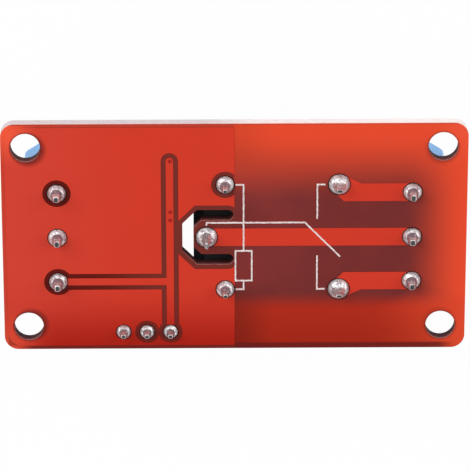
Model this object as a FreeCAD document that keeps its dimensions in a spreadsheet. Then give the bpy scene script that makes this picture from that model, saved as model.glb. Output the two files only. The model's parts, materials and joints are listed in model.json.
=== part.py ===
import FreeCAD, Part
import math
import os

import Sketcher

# One-channel relay module board, lying on its relay with the solder side up.
# X runs along the board, Y across it, Z out of the solder side. The origin is the
# centre of the four mounting holes on the solder face. Depths below the board are
# given from its component face, away from the board. All lengths are millimetres.

SIZES = {
    # Board
    "board_length": 49.8,
    "board_width": 25.8,
    "board_thickness": 1.4,
    "corner_radius": 1.5,
    "hole_inset": 2.65,
    "hole_diameter": 3.2,
    # Isolation slot milled round the common pin
    "slot_width": 1.2,
    "slot_arm_y": 2.53,
    "slot_left_x": -5.0,
    "slot_bend": 1.2,
    "slot_end_x": -0.7,
    # Copper and ink
    "copper_thickness": 0.05,
    "copper_gap": 0.52,
    "pour_inset": 0.4,
    "pour_edge_x": 0.0,
    "hole_rim": 0.15,
    "signal_width": 0.8,
    "power_width": 2.0,
    "flare_length": 2.4,
    "surface_track_width": 0.5,
    "signal_top_y": 8.7,
    "ink_width": 0.17,
    "ink_thickness": 0.02,
    "symbol_x": 0.97,
    "coil_box_width": 1.75,
    "coil_box_top_y": -1.57,
    "coil_box_bottom_y": -5.0,
    "contact_symbol_x": 8.86,
    "contact_symbol_y": 2.1,
    "switch_y": 1.67,
    "switch_bend_x": 7.54,
    "switch_tip_x": 11.34,
    "switch_tip_y": -2.27,
    "switch_stub": 0.3,
    "symbol_stub": 0.86,
    # Where the through-hole parts stand
    "input_row_x": -19.0,
    "output_gap": 0.07,
    "header_x": -9.47,
    "header_edge": 1.98,
    "relay_common_x": -3.0,
    # Screw terminals
    "terminal_pitch": 5.08,
    "terminal_front": 3.57,
    "terminal_depth": 7.75,
    "terminal_height": 10.2,
    "terminal_wall_height": 5.1,
    "terminal_slope_height": 8.0,
    "terminal_slope_depth": 1.5,
    "terminal_edge_bevel": 0.2,
    "terminal_tongue": 0.35,
    "terminal_tongue_width": 1.3,
    "terminal_tongue_play": 0.05,
    "well_diameter": 3.9,
    "entry_width": 3.0,
    "entry_height": 2.9,
    "entry_floor": 1.5,
    "entry_flare": 0.25,
    "cage_axis": -0.45,
    "cage_width": 3.7,
    "cage_depth": 3.6,
    "cage_floor": 0.7,
    "cage_wall": 0.6,
    "cage_top_wall": 1.4,
    "cage_height": 6.0,
    "cage_clearance": 0.06,
    "terminal_pin_x": 0.8,
    "terminal_pin_y": 1.0,
    "terminal_hole": 1.4,
    "terminal_pad": 2.0,
    "leaf_thickness": 0.35,
    "leaf_bevel": 0.15,
    "leaf_gap": 0.2,
    "screw_diameter": 2.5,
    "screw_clearance": 0.05,
    "screw_head": 3.6,
    "screw_head_height": 1.2,
    "screw_slot": 0.6,
    "screw_pitch": 0.45,
    "screw_turns": 4.5,
    "screw_stop_gap": 0.175,
    # Relay
    "relay_length": 19.2,
    "relay_width": 15.2,
    "relay_height": 15.0,
    "relay_end": 1.4,
    "case_wall": 0.9,
    "case_top": 0.9,
    "case_round": 0.6,
    "case_bevel": 0.35,
    "fit_gap": 0.02,
    "base_recess": 0.35,
    "base_thickness": 2.0,
    "base_clearance": 0.05,
    "yoke_gap": 0.05,
    "coil_pin_offset": 2.0,
    "contact_pin_inset": 3.6,
    "relay_pin_y": 6.0,
    "relay_pin_wide": 1.0,
    "relay_pin_thin": 0.4,
    "coil_pin_side": 0.6,
    "contact_hole": 1.4,
    "coil_hole": 1.1,
    "common_pad": 2.3,
    "contact_pad": 2.3,
    "coil_pad": 1.95,
    "yoke_thickness": 1.0,
    "yoke_width": 7.0,
    "yoke_top": 11.0,
    "yoke_foot_length": 9.0,
    "yoke_bend": 0.8,
    "common_weld": 3.0,
    "core_diameter": 3.0,
    "core_x": 2.9,
    "pole_diameter": 5.6,
    "pole_thickness": 0.7,
    "bobbin_length": 9.0,
    "bobbin_width": 9.4,
    "bobbin_flange": 0.7,
    "bobbin_hub": 4.2,
    "ear_margin": 0.6,
    "coil_pin_stand": 0.5,
    "winding_diameter": 8.4,
    "armature_thickness": 0.9,
    "armature_width": 6.4,
    "armature_length": 8.4,
    "armature_angle": 2.7,
    "armature_heel": 0.3,
    "armature_bevel": 0.25,
    "seat_gap": 0.03,
    "spring_thickness": 0.2,
    "spring_width": 3.6,
    "spring_tail": 3.6,
    "contact_diameter": 2.0,
    "contact_height": 0.35,
    "contact_shank": 1.0,
    "strip_thickness": 0.4,
    "strip_width": 2.2,
    "strip_bend": 0.32,
    "strip_overhang": 0.1,
    # Trigger header and jumper
    "header_pitch": 2.54,
    "header_height": 2.5,
    "header_notch": 0.4,
    "header_pin": 0.64,
    "header_pin_reach": 6.0,
    "header_hole": 1.0,
    "header_pad": 1.56,
    "jumper_length": 4.9,
    "jumper_width": 2.4,
    "jumper_room": 0.1,
    "jumper_wall": 0.4,
    "jumper_round": 0.3,
    "jumper_window": 0.9,
    "clip_thickness": 0.25,
    "clip_rim_gap": 0.6,
    "clip_crown_gap": 0.3,
    # How far the leads stand out of the solder face, and the joints round them
    "terminal_tail": 2.0,
    "relay_tail": 2.2,
    "common_tail": 2.7,
    "header_tail": 1.5,
    "tip_length": 0.9,
    "tip_share": 0.45,
    "joint_height": 1.5,
    "header_joint_height": 1.05,
    "joint_neck": 0.15,
    # Surface-mounted parts
    "opto_x": -11.6,
    "opto_y": 4.6,
    "opto_length": 6.4,
    "opto_width": 4.6,
    "opto_height": 3.4,
    "opto_span": 9.6,
    "opto_rise": 1.6,
    "opto_bevel": 0.45,
    "opto_draft": 0.15,
    "opto_lead_width": 0.6,
    "transistor_x": -7.4,
    "transistor_y": 5.3,
    "transistor_length": 2.9,
    "transistor_width": 1.3,
    "transistor_height": 1.1,
    "transistor_span": 3.2,
    "transistor_lead_width": 0.4,
    "transistor_lead_step": 0.95,
    "transistor_rise": 0.37,
    "diode_x": -7.6,
    "diode_y": -3.0,
    "diode_length": 4.3,
    "diode_width": 2.6,
    "diode_height": 2.2,
    "diode_span": 6.4,
    "diode_lead_width": 1.5,
    "lead_metal": 0.25,
    "lead_foot": 0.9,
    "part_standoff": 0.1,
    "pad_margin": 0.2,
    "lamp_row_y": -3.4,
    "lamp_left_x": -13.2,
    "lamp_right_x": -10.7,
    "resistor_row_y": -6.6,
    "chip_length": 2.0,
    "chip_width": 1.25,
    "chip_height": 0.6,
    "chip_cap": 0.4,
    "chip_standoff": 0.05,
    "chip_pad": 0.9,
    "lamp_height": 0.8,
    "base_resistor_step": 1.0,
    "base_resistor_rise": 4.4,
    "pull_resistor_drop": 3.6,
    "supply_track_x": -15.0,
}

document = FreeCAD.newDocument("relay_module_board")
sheet = document.addObject("Spreadsheet::Sheet", "Sizes")
for number, (word, value) in enumerate(SIZES.items(), start=1):
    sheet.set("A%d" % number, word)
    sheet.set("B%d" % number, str(value))
    sheet.setAlias("B%d" % number, word)
document.recompute()


class Size:
    """A length that carries its value and the sheet expression that gives it."""

    def __init__(self, value, text):
        self.value = value
        self.text = text

    def joined(self, other, sign, value):
        return Size(value, "(%s %s %s)" % (self.text, sign, as_size(other).text))

    def __add__(self, other):
        return self.joined(other, "+", self.value + as_size(other).value)

    def __sub__(self, other):
        return self.joined(other, "-", self.value - as_size(other).value)

    def __mul__(self, other):
        return self.joined(other, "*", self.value * as_size(other).value)

    def __truediv__(self, other):
        return self.joined(other, "/", self.value / as_size(other).value)

    def __radd__(self, other):
        return as_size(other) + self

    def __rsub__(self, other):
        return as_size(other) - self

    def __rmul__(self, other):
        return as_size(other) * self

    def __neg__(self):
        return Size(-self.value, "(0 - %s)" % self.text)


class SizeList:
    """The sheet's sizes by name."""

    def __getattr__(self, word):
        return Size(float(sheet.get(word)), "Sizes.%s" % word)


def as_size(number):
    if isinstance(number, Size):
        return number
    return Size(float(number), repr(float(number)))


def plain(number):
    return as_size(number).value


def bind(thing, name, number):
    """Set a property and tie it to the sheet."""
    thing.setExpression(name, as_size(number).text)


def vector(x, y, z):
    return FreeCAD.Vector(plain(x), plain(y), plain(z))


size = SizeList()
solder_face = as_size(0)
component_face = -size.board_thickness
copper_top = size.copper_thickness
seat = component_face - size.copper_thickness


def below(depth):
    """The height of a point at a depth below the copper that the parts sit on."""
    return seat - depth


# How far a cutting shape runs past what it cuts, how near counts as in place, and how many
# sides stand for a small round that hardly shows
PAST = 0.1
NEAR = 0.01
ROUND_SIDES = 24
SMALL_SIDES = 12

nodes = {}


def keep(name, thing):
    """Name a finished sub-part, after which its file is named."""
    thing.Label = name
    nodes[name] = thing
    return thing


# Building blocks


def place(thing, x, y, z):
    bind(thing, "Placement.Base.x", x)
    bind(thing, "Placement.Base.y", y)
    bind(thing, "Placement.Base.z", z)


def block(name, x_span, y_span, z_span):
    """A box between two values along each axis."""
    thing = document.addObject("Part::Box", name)
    bind(thing, "Length", x_span[1] - x_span[0])
    bind(thing, "Width", y_span[1] - y_span[0])
    bind(thing, "Height", z_span[1] - z_span[0])
    place(thing, x_span[0], y_span[0], z_span[0])
    return thing


def centred(middle, length):
    """The span of a length about its middle."""
    middle, length = as_size(middle), as_size(length)
    return middle - length / 2, middle + length / 2


def rod(name, diameter, x, y, z_span):
    """An upright cylinder."""
    thing = document.addObject("Part::Cylinder", name)
    bind(thing, "Radius", as_size(diameter) / 2)
    bind(thing, "Height", z_span[1] - z_span[0])
    place(thing, x, y, z_span[0])
    return thing


def facet_rod(name, diameter, x, y, z_span, sides=ROUND_SIDES):
    """An upright prism with the given corner-to-corner width, for small rounds that hardly show."""
    thing = document.addObject("Part::Prism", name)
    thing.Polygon = sides
    bind(thing, "Circumradius", as_size(diameter) / 2)
    bind(thing, "Height", z_span[1] - z_span[0])
    place(thing, x, y, z_span[0])
    return thing


def tapered_pin(name, x, y, wide_x, wide_y, lowest, highest):
    """A rectangular pin whose upper end narrows to a clipped tip."""
    shoulder = highest - size.tip_length
    stem = block(name + "_stem", centred(x, wide_x), centred(y, wide_y), (lowest, shoulder))
    half_x, half_y = as_size(wide_x) / 2, as_size(wide_y) / 2
    tip = document.addObject("Part::Wedge", name + "_tip")
    sides = {
        "Xmin": -half_x, "Xmax": half_x, "Zmin": -half_y, "Zmax": half_y,
        "X2min": -half_x * size.tip_share, "X2max": half_x * size.tip_share,
        "Z2min": -half_y * size.tip_share, "Z2max": half_y * size.tip_share,
        "Ymin": 0, "Ymax": size.tip_length,
    }
    for word, value in sides.items():
        bind(tip, word, value)
    tip.Placement = FreeCAD.Placement(FreeCAD.Vector(), FreeCAD.Rotation(X_AXIS, 90))
    place(tip, x, y, shoulder)
    return fused(name, [stem, tip])


def fused(name, things):
    if len(things) == 1:
        return things[0]
    result = document.addObject("Part::MultiFuse", name)
    result.Shapes = things
    result.Refine = True
    return result


def less(name, base, tools):
    """A piece with its cut-outs taken away."""
    result = document.addObject("Part::Cut", name)
    result.Base = base
    result.Tool = fused(name + "_cuts", tools)
    result.Refine = True
    return result


def group(name, things):
    """Several separate solids that share one node."""
    result = document.addObject("Part::Compound", name)
    result.Links = things
    return result


def band(name, points, width, bottom, top):
    """A straight-sided band along a broken line, mitred at its bends."""
    half = plain(width) / 2
    spots = [vector(x, y, 0) for x, y in points]
    ways = [(end - start).normalize() for start, end in zip(spots, spots[1:])]
    normals = [FreeCAD.Vector(-way.y, way.x, 0) for way in ways]
    left, right = [], []
    for spot, before, after in zip(spots, normals[:1] + normals, normals + normals[-1:]):
        mitre = before + after
        mitre = mitre * (2 * half / mitre.dot(mitre))
        left.append(spot + mitre)
        right.append(spot - mitre)
    outline = [(corner.x, corner.y) for corner in left + right[::-1]]
    return prism(name, outline, bottom, top)


def prism(name, points, bottom, top):
    """A flat plate with a straight-sided outline."""
    corners = [vector(x, y, bottom) for x, y in points]
    face = Part.Face(Part.makePolygon(corners + corners[:1]))
    thing = document.addObject("Part::Feature", name)
    thing.Shape = face.extrude(FreeCAD.Vector(0, 0, plain(top) - plain(bottom)))
    return thing


def new_body(name):
    return document.addObject("PartDesign::Body", name)


def new_sketch(body, role, offset=0):
    """A sketch on one of the body's own planes, moved along its normal."""
    plane = [item for item in body.Origin.OriginFeatures if item.Role == role][0]
    sketch = body.newObject("Sketcher::SketchObject", body.Name + "_sketch")
    sketch.AttachmentSupport = [(plane, "")]
    sketch.MapMode = "FlatFace"
    bind(sketch, "AttachmentOffset.Base.z", offset)
    return sketch


def pin_point(sketch, geometry, end, x, y):
    """Tie one point of a sketch to the sheet."""
    for kind, value in (("DistanceX", x), ("DistanceY", y)):
        rule = Sketcher.Constraint(kind, -1, 1, geometry, end, plain(value))
        number = sketch.addConstraint(rule)
        sketch.setExpression("Constraints[%d]" % number, as_size(value).text)


def draw_outline(sketch, points):
    """A closed straight-sided outline, every corner tied to the sheet."""
    first = sketch.GeometryCount
    count = len(points)
    for index in range(count):
        start, end = points[index], points[(index + 1) % count]
        line = Part.LineSegment(vector(start[0], start[1], 0), vector(end[0], end[1], 0))
        sketch.addGeometry(line, False)
    for index in range(count):
        following = first + (index + 1) % count
        sketch.addConstraint(Sketcher.Constraint("Coincident", first + index, 2, following, 1))
    for index, (x, y) in enumerate(points):
        pin_point(sketch, first + index, 1, x, y)


def draw_box(sketch, x_span, y_span):
    (x0, x1), (y0, y1) = x_span, y_span
    draw_outline(sketch, [(x0, y0), (x1, y0), (x1, y1), (x0, y1)])


def draw_circle(sketch, x, y, diameter):
    radius = as_size(diameter) / 2
    centre = vector(x, y, 0)
    number = sketch.addGeometry(Part.Circle(centre, FreeCAD.Vector(0, 0, 1), radius.value), False)
    pin_point(sketch, number, 3, x, y)
    rule = sketch.addConstraint(Sketcher.Constraint("Radius", number, radius.value))
    sketch.setExpression("Constraints[%d]" % rule, radius.text)


def feature(body, kind, sketch, length, reverse=False, both_ways=False):
    """A pad or pocket of a sketch, measured along the sketch's normal."""
    result = body.newObject("PartDesign::" + kind, body.Name + "_" + kind.lower())
    result.Profile = sketch
    bind(result, "Length", length)
    if both_ways:
        result.SideType = "Symmetric"
    result.Reversed = reverse
    sketch.Visibility = False
    document.recompute()
    return result


def soften(body, kind, chosen, amount):
    """A fillet or chamfer on the edges of the body's tip that a rule picks."""
    tip = body.Tip
    names = ["Edge%d" % (i + 1) for i, edge in enumerate(tip.Shape.Edges) if chosen(edge)]
    result = body.newObject("PartDesign::" + kind, body.Name + "_" + kind.lower())
    result.Base = (tip, names)
    bind(result, "Radius" if kind == "Fillet" else "Size", amount)
    document.recompute()
    return result


def along(edge, axis):
    """Whether an edge is a straight one in the given direction."""
    if not isinstance(edge.Curve, Part.Line):
        return False
    return abs(edge.Curve.Direction.dot(axis)) > 0.999


X_AXIS = FreeCAD.Vector(1, 0, 0)
Y_AXIS = FreeCAD.Vector(0, 1, 0)
Z_AXIS = FreeCAD.Vector(0, 0, 1)


# Where the leads pass through the board: place, lead, hole, pad, tail and joint height


class Lead:
    """One soldered lead, straight up through its hole."""

    def __init__(self, x, y, wide_x, wide_y, hole, pad, tail, joint):
        self.x, self.y = as_size(x), as_size(y)
        self.wide_x, self.wide_y = wide_x, wide_y
        self.hole, self.pad, self.tail, self.joint = hole, pad, tail, joint

    def bar(self, name, lowest):
        """The lead as a pin, from a height up to its tip above the solder face."""
        return tapered_pin(name, self.x, self.y, self.wide_x, self.wide_y, lowest, self.tail)

    def opening(self, name, z_span):
        """The lead's own section as a cutter."""
        return block(name, centred(self.x, self.wide_x), centred(self.y, self.wide_y), z_span)


def terminal_lead(row_x, pole):
    return Lead(row_x, size.terminal_pitch * (2 - pole), size.terminal_pin_x, size.terminal_pin_y,
                size.terminal_hole, size.terminal_pad, size.terminal_tail, size.joint_height)


def relay_lead(offset, y, wide_x, wide_y, hole, pad, tail):
    return Lead(size.relay_common_x + offset, y, wide_x, wide_y, hole, pad, tail, size.joint_height)


relay_span = (size.relay_common_x - size.relay_end,
              size.relay_common_x - size.relay_end + size.relay_length)
output_row_x = relay_span[1] + size.output_gap + size.terminal_depth - size.terminal_front
header_y = size.header_edge - size.board_width / 2
input_leads = [terminal_lead(size.input_row_x, pole) for pole in (1, 2, 3)]
output_leads = [terminal_lead(output_row_x, pole) for pole in (1, 2, 3)]
header_leads = [Lead(size.header_x + size.header_pitch * step, header_y, size.header_pin,
                     size.header_pin, size.header_hole, size.header_pad, size.header_tail,
                     size.header_joint_height)
                for step in (-1, 0, 1)]
common_lead = relay_lead(0, 0, size.relay_pin_thin, size.relay_pin_wide, size.contact_hole,
                         size.common_pad, size.common_tail)
coil_leads = [relay_lead(size.coil_pin_offset, size.relay_pin_y * side, size.coil_pin_side,
                         size.coil_pin_side, size.coil_hole, size.coil_pad, size.relay_tail)
              for side in (1, -1)]
contact_pin_offset = relay_span[1] - size.contact_pin_inset - size.relay_common_x
open_lead, closed_lead = [
    relay_lead(contact_pin_offset, size.relay_pin_y * side, size.relay_pin_wide,
               size.relay_pin_thin, size.contact_hole, size.contact_pad, size.relay_tail)
    for side in (1, -1)]
relay_leads = [common_lead] + coil_leads + [open_lead, closed_lead]
all_leads = input_leads + output_leads + relay_leads + header_leads

signal_x = header_leads[2].x
mounting_holes = [((size.board_length / 2 - size.hole_inset) * side_x,
                   (size.board_width / 2 - size.hole_inset) * side_y)
                  for side_x in (-1, 1) for side_y in (-1, 1)]
slot_path = [
    (size.slot_end_x, size.slot_arm_y),
    (size.slot_left_x + size.slot_bend, size.slot_arm_y),
    (size.slot_left_x, size.slot_arm_y - size.slot_bend),
    (size.slot_left_x, size.slot_bend - size.slot_arm_y),
    (size.slot_left_x + size.slot_bend, -size.slot_arm_y),
    (size.slot_end_x, -size.slot_arm_y),
]


# Board and copper


def make_board():
    body = new_body("board_panel")
    outline = new_sketch(body, "XY_Plane")
    draw_box(outline, centred(0, size.board_length), centred(0, size.board_width))
    feature(body, "Pad", outline, size.board_thickness, reverse=True)
    soften(body, "Fillet", lambda edge: along(edge, Z_AXIS), size.corner_radius)
    holes = new_sketch(body, "XY_Plane")
    for x, y in mounting_holes:
        draw_circle(holes, x, y, size.hole_diameter)
    feature(body, "Pocket", holes, size.board_thickness)
    through = (component_face, solder_face)
    cuts = [band("slot_cut", slot_path, size.slot_width, *through)]
    cuts += [facet_rod("slot_end_%d" % i, size.slot_width, x, y, through)
             for i, (x, y) in enumerate((slot_path[0], slot_path[-1]))]
    cuts += [facet_rod("lead_hole_%d" % i, lead.hole, lead.x, lead.y, through, SMALL_SIDES)
             for i, lead in enumerate(all_leads)]
    keep("board", less("board", body, cuts))


def copper_rounds(name, spots, span):
    return [facet_rod("%s_%d" % (name, i), diameter, x, y, span)
            for i, (x, y, diameter) in enumerate(spots)]


def make_copper():
    layer = (solder_face, copper_top)
    cut_layer = (solder_face - copper_top, copper_top * 2)

    def openings(name, leads):
        return [lead.opening("%s_%d" % (name, i), cut_layer) for i, lead in enumerate(leads)]

    def pads(name, leads):
        return copper_rounds(name, [(lead.x, lead.y, lead.pad) for lead in leads], layer)

    # Ground pour: the whole left half, with clearances round what it doesn't join
    half_length = size.board_length / 2 - size.pour_inset
    half_width = size.board_width / 2 - size.pour_inset
    body = new_body("pour_sheet")
    outline = new_sketch(body, "XY_Plane")
    draw_box(outline, (-half_length, size.pour_edge_x), (-half_width, half_width))
    feature(body, "Pad", outline, size.copper_thickness)
    left_corner = -half_length / 2
    soften(body, "Fillet",
           lambda edge: along(edge, Z_AXIS) and edge.Vertexes[0].X < left_corner.value,
           size.corner_radius)
    isolated = [input_leads[0], input_leads[2], coil_leads[0], header_leads[1], header_leads[2]]
    joined = [input_leads[1], coil_leads[1], header_leads[0]]
    ring = size.copper_gap * 2
    signal_end = (signal_x, size.signal_top_y)
    signal_run = [signal_end, (signal_x, header_y)]
    trigger_run = [(input_leads[2].x, input_leads[2].y), (signal_x, input_leads[2].y)]
    rounds = [(lead.x, lead.y, lead.pad + ring) for lead in isolated]
    rounds += [(x, y, size.hole_diameter + size.hole_rim * 2) for x, y in mounting_holes[:2]]
    rounds += [(*signal_end, size.signal_width + ring)]
    rounds += [(x, y, size.slot_width + ring) for x, y in (slot_path[0], slot_path[-1])]
    clearances = copper_rounds("clearance", rounds, cut_layer)
    for name, run, width in (("signal_gap", signal_run, size.signal_width),
                             ("trigger_gap", trigger_run, size.signal_width),
                             ("slot_gap", slot_path, size.slot_width)):
        clearances.append(band(name, run, width + ring, *cut_layer))
    tongue = block("tongue_gap", (size.slot_left_x, size.pour_edge_x + PAST),
                   (-size.slot_arm_y, size.slot_arm_y), cut_layer)
    clearances.append(tongue)
    keep("ground_pour", less("ground_pour", body, clearances + openings("ground_hole", joined)))

    # Trigger signal: from the input's third pin and the header up to its far end
    trigger_leads = [input_leads[2], header_leads[2]]
    run = [band("signal_run", signal_run, size.signal_width, *layer),
           band("trigger_run", trigger_run, size.signal_width, *layer)]
    run += copper_rounds("signal_end", [(*signal_end, size.signal_width)], layer)
    run += pads("signal_pad", trigger_leads)
    copper = fused("signal_copper", run)
    keep("signal_track", less("signal_track", copper, openings("signal_hole", trigger_leads)))

    # Contact tracks: common straight across, the other two stepped to their pin rows, with a
    # flare that leaves the pad's edge three fifths across and four fifths out
    common_run = [(common_lead.x, common_lead.y), (output_leads[1].x, output_leads[1].y)]
    copper = [band("common_run", common_run, size.power_width, *layer)]
    copper += pads("common_pad", [common_lead, output_leads[1]])
    holes = openings("common_hole", [common_lead, output_leads[1]])
    keep("common_track", less("common_track", fused("common_copper", copper), holes))
    for name, lead, outlet, side in (("open_contact_track", open_lead, output_leads[0], 1),
                                     ("closed_contact_track", closed_lead, output_leads[2], -1)):
        step = size.relay_pin_y - size.terminal_pitch
        run = [(lead.x, lead.y), (lead.x + step, outlet.y), (outlet.x, outlet.y)]
        half = size.power_width / 2
        shoulder = (lead.x + lead.pad / 2 * 3 / 5, lead.y + lead.pad / 2 * 4 / 5 * side)
        flare = [(lead.x + step, outlet.y), shoulder,
                 (lead.x + size.flare_length, outlet.y + half * side),
                 (lead.x + size.flare_length, outlet.y)]
        if side < 0:
            flare.reverse()
        copper = [band(name + "_run", run, size.power_width, *layer),
                  prism(name + "_flare", flare, *layer)]
        copper += pads(name + "_pad", [lead, outlet])
        holes = openings(name + "_hole", [lead, outlet])
        keep(name, less(name, fused(name + "_copper", copper), holes))

    # Pads that the solder side leaves unconnected
    loose = [input_leads[0], coil_leads[0], header_leads[1]]
    rings = [less("loose_ring_%d" % i, pad, [hole])
             for i, (pad, hole) in enumerate(zip(pads("loose_pad", loose), openings("loose_hole", loose)))]
    keep("isolated_pads", group("isolated_pads", rings))


def make_legend():
    """The printed relay symbol: coil, switch arm and the two contacts."""
    top = copper_top + size.ink_thickness
    half_box = size.coil_box_width / 2
    left, right = size.symbol_x - half_box, size.symbol_x + half_box
    pin_y = size.relay_pin_y
    upper, lower = size.coil_box_top_y, size.coil_box_bottom_y
    stub = size.symbol_stub
    coil = [
        [(size.symbol_x - stub, pin_y), (size.symbol_x, pin_y), (size.symbol_x, upper)],
        [(size.symbol_x, lower), (size.symbol_x, -pin_y), (size.symbol_x - stub, -pin_y)],
    ]
    switch_start = common_lead.x
    arm = [(switch_start, size.switch_y - size.switch_stub), (switch_start, size.switch_y),
           (size.switch_bend_x, size.switch_y), (size.switch_tip_x, size.switch_tip_y)]
    contacts = []
    for side in (1, -1):
        contacts.append([(size.contact_symbol_x + stub, pin_y * side),
                         (size.contact_symbol_x, pin_y * side),
                         (size.contact_symbol_x, size.contact_symbol_y * side)])
    layer = (solder_face, top)
    half_ink = size.ink_width / 2
    frame = less("coil_box", block("coil_box_outside", (left - half_ink, right + half_ink),
                                   (lower - half_ink, upper + half_ink), layer),
                 [block("coil_box_inside", (left + half_ink, right - half_ink),
                        (lower + half_ink, upper - half_ink), (solder_face - top, top * 2))])
    lines = [band("coil_line_%d" % i, run, size.ink_width, *layer) for i, run in enumerate(coil + [arm])]
    crossing = fused("coil_and_arm", [frame] + lines)
    ink = [less("coil_and_arm_ink", crossing, [nodes["common_track"]])]
    ink += [band("contact_line_%d" % i, run, size.ink_width, *layer) for i, run in enumerate(contacts)]
    keep("circuit_legend", group("circuit_legend", ink))


# Solder joints


def solder_joint(name, lead):
    """The swollen cone of solder round a lead's tail, flat-sided to keep it light."""
    pad, base, top = plain(lead.pad) / 2, plain(copper_top), plain(lead.joint)
    neck = max(plain(lead.wide_x), plain(lead.wide_y)) / 2 * plain(size.tip_share) + plain(size.joint_neck)
    sides, steps = 16, 3
    sections = []
    for step in range(steps + 1):
        slope = math.pi / 2 * step / steps
        reach = neck + (pad - neck) * math.cos(slope)
        height = base + (top - base) * math.sin(slope)
        corners = [FreeCAD.Vector(reach * math.cos(turn), reach * math.sin(turn), height)
                   for turn in (2 * math.pi * side / sides for side in range(sides))]
        sections.append(Part.makePolygon(corners + corners[:1]))
    thing = document.addObject("Part::Feature", name)
    thing.Shape = Part.makeLoft(sections, True, True)
    thing.Placement = FreeCAD.Placement(vector(lead.x, lead.y, 0), FreeCAD.Rotation())
    return less(name + "_solder", thing, [lead.bar(name + "_lead", component_face)])


def make_solder():
    for name, leads in (("input_solder_joints", input_leads), ("output_solder_joints", output_leads),
                        ("relay_solder_joints", relay_leads), ("header_solder_joints", header_leads)):
        joints = [solder_joint("%s_%d" % (name, i), lead) for i, lead in enumerate(leads, start=1)]
        keep(name, group(name, joints))


# Screw terminals, built facing +X with the pin row at the origin of the component face


cage_span = centred(size.cage_axis, size.cage_depth)
chamber_span = (cage_span[0] - size.cage_clearance, cage_span[1] + size.cage_clearance)
chamber_top = size.cage_floor + size.cage_height + size.cage_clearance
pole_rows = [size.terminal_pitch * step for step in (1, 0, -1)]
cage_window_floor = size.cage_floor + size.cage_wall
cage_window_top = size.cage_floor + size.cage_height - size.cage_top_wall
screw_tip = cage_window_top - size.leaf_gap
screw_seat = (size.cage_floor + size.cage_height + size.screw_stop_gap
              + size.screw_pitch * size.screw_turns)
pin_top = size.copper_thickness + size.board_thickness + size.terminal_tail


def facing(row_x):
    """Which way the wires enter: out over the board's nearer end."""
    return -1 if row_x.value < 0 else 1


def stand(thing, row_x):
    """Set a terminal's piece on its pin row, with its wire entries outwards."""
    angle = 90 - 90 * facing(row_x)
    thing.Placement = FreeCAD.Placement(FreeCAD.Vector(), FreeCAD.Rotation(Z_AXIS, angle))
    place(thing, row_x, 0, seat)
    return thing


def make_housing(name, row_x):
    """The moulded block: chambers from below, wells from the top and funnelled wire entries."""
    body = new_body(name)
    back = size.terminal_front - size.terminal_depth
    length = size.terminal_pitch * 3
    shelf = size.terminal_front - size.terminal_slope_depth
    profile = new_sketch(body, "XZ_Plane")
    draw_outline(profile, [
        (back, as_size(0)), (size.terminal_front, as_size(0)),
        (size.terminal_front, -size.terminal_wall_height),
        (shelf, -size.terminal_slope_height), (shelf, -size.terminal_height),
        (back, -size.terminal_height)])
    feature(body, "Pad", profile, length, both_ways=True)

    soften(body, "Chamfer", lambda edge: edge.BoundBox.ZMin < -NEAR, size.terminal_edge_bevel)
    play = size.terminal_tongue_play
    tongue = new_sketch(body, "XY_Plane")
    for x in (back / 2, shelf / 2):
        draw_box(tongue, centred(x, size.terminal_tongue_width),
                 (length / 2 - play, length / 2 + size.terminal_tongue))
    feature(body, "Pad", tongue, size.terminal_wall_height, reverse=True)
    groove = new_sketch(body, "XY_Plane")
    for x in (back / 2, shelf / 2):
        draw_box(groove, centred(x, size.terminal_tongue_width + play * 2),
                 (-length, size.terminal_tongue + play - length / 2))
    feature(body, "Pocket", groove, size.terminal_wall_height + play)
    chambers = new_sketch(body, "XY_Plane")
    chamber_width = size.cage_width + size.cage_clearance * 2
    for y in pole_rows:
        draw_box(chambers, chamber_span, centred(y, chamber_width))
    feature(body, "Pocket", chambers, chamber_top)
    wells = new_sketch(body, "XY_Plane", -size.terminal_height)
    for y in pole_rows:
        draw_circle(wells, size.cage_axis, y, size.well_diameter)
    feature(body, "Pocket", wells, size.terminal_height - chamber_top + PAST, reverse=True)
    entries = new_sketch(body, "YZ_Plane", size.terminal_front)
    for y in pole_rows:
        draw_box(entries, centred(y, size.entry_width),
                 (-size.entry_floor - size.entry_height, -size.entry_floor))
    feature(body, "Pocket", entries, size.terminal_front - chamber_span[1] + PAST)
    front, floor = plain(size.terminal_front), -plain(size.entry_floor)

    def entry_rim(edge):
        box = edge.BoundBox
        on_front = abs(box.XMin - front) < NEAR and abs(box.XMax - front) < NEAR
        return on_front and edge.Length < plain(size.entry_width) + NEAR and box.ZMax < floor + NEAR

    soften(body, "Chamfer", entry_rim, size.entry_flare)
    keep(name, stand(body, row_x))


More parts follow.
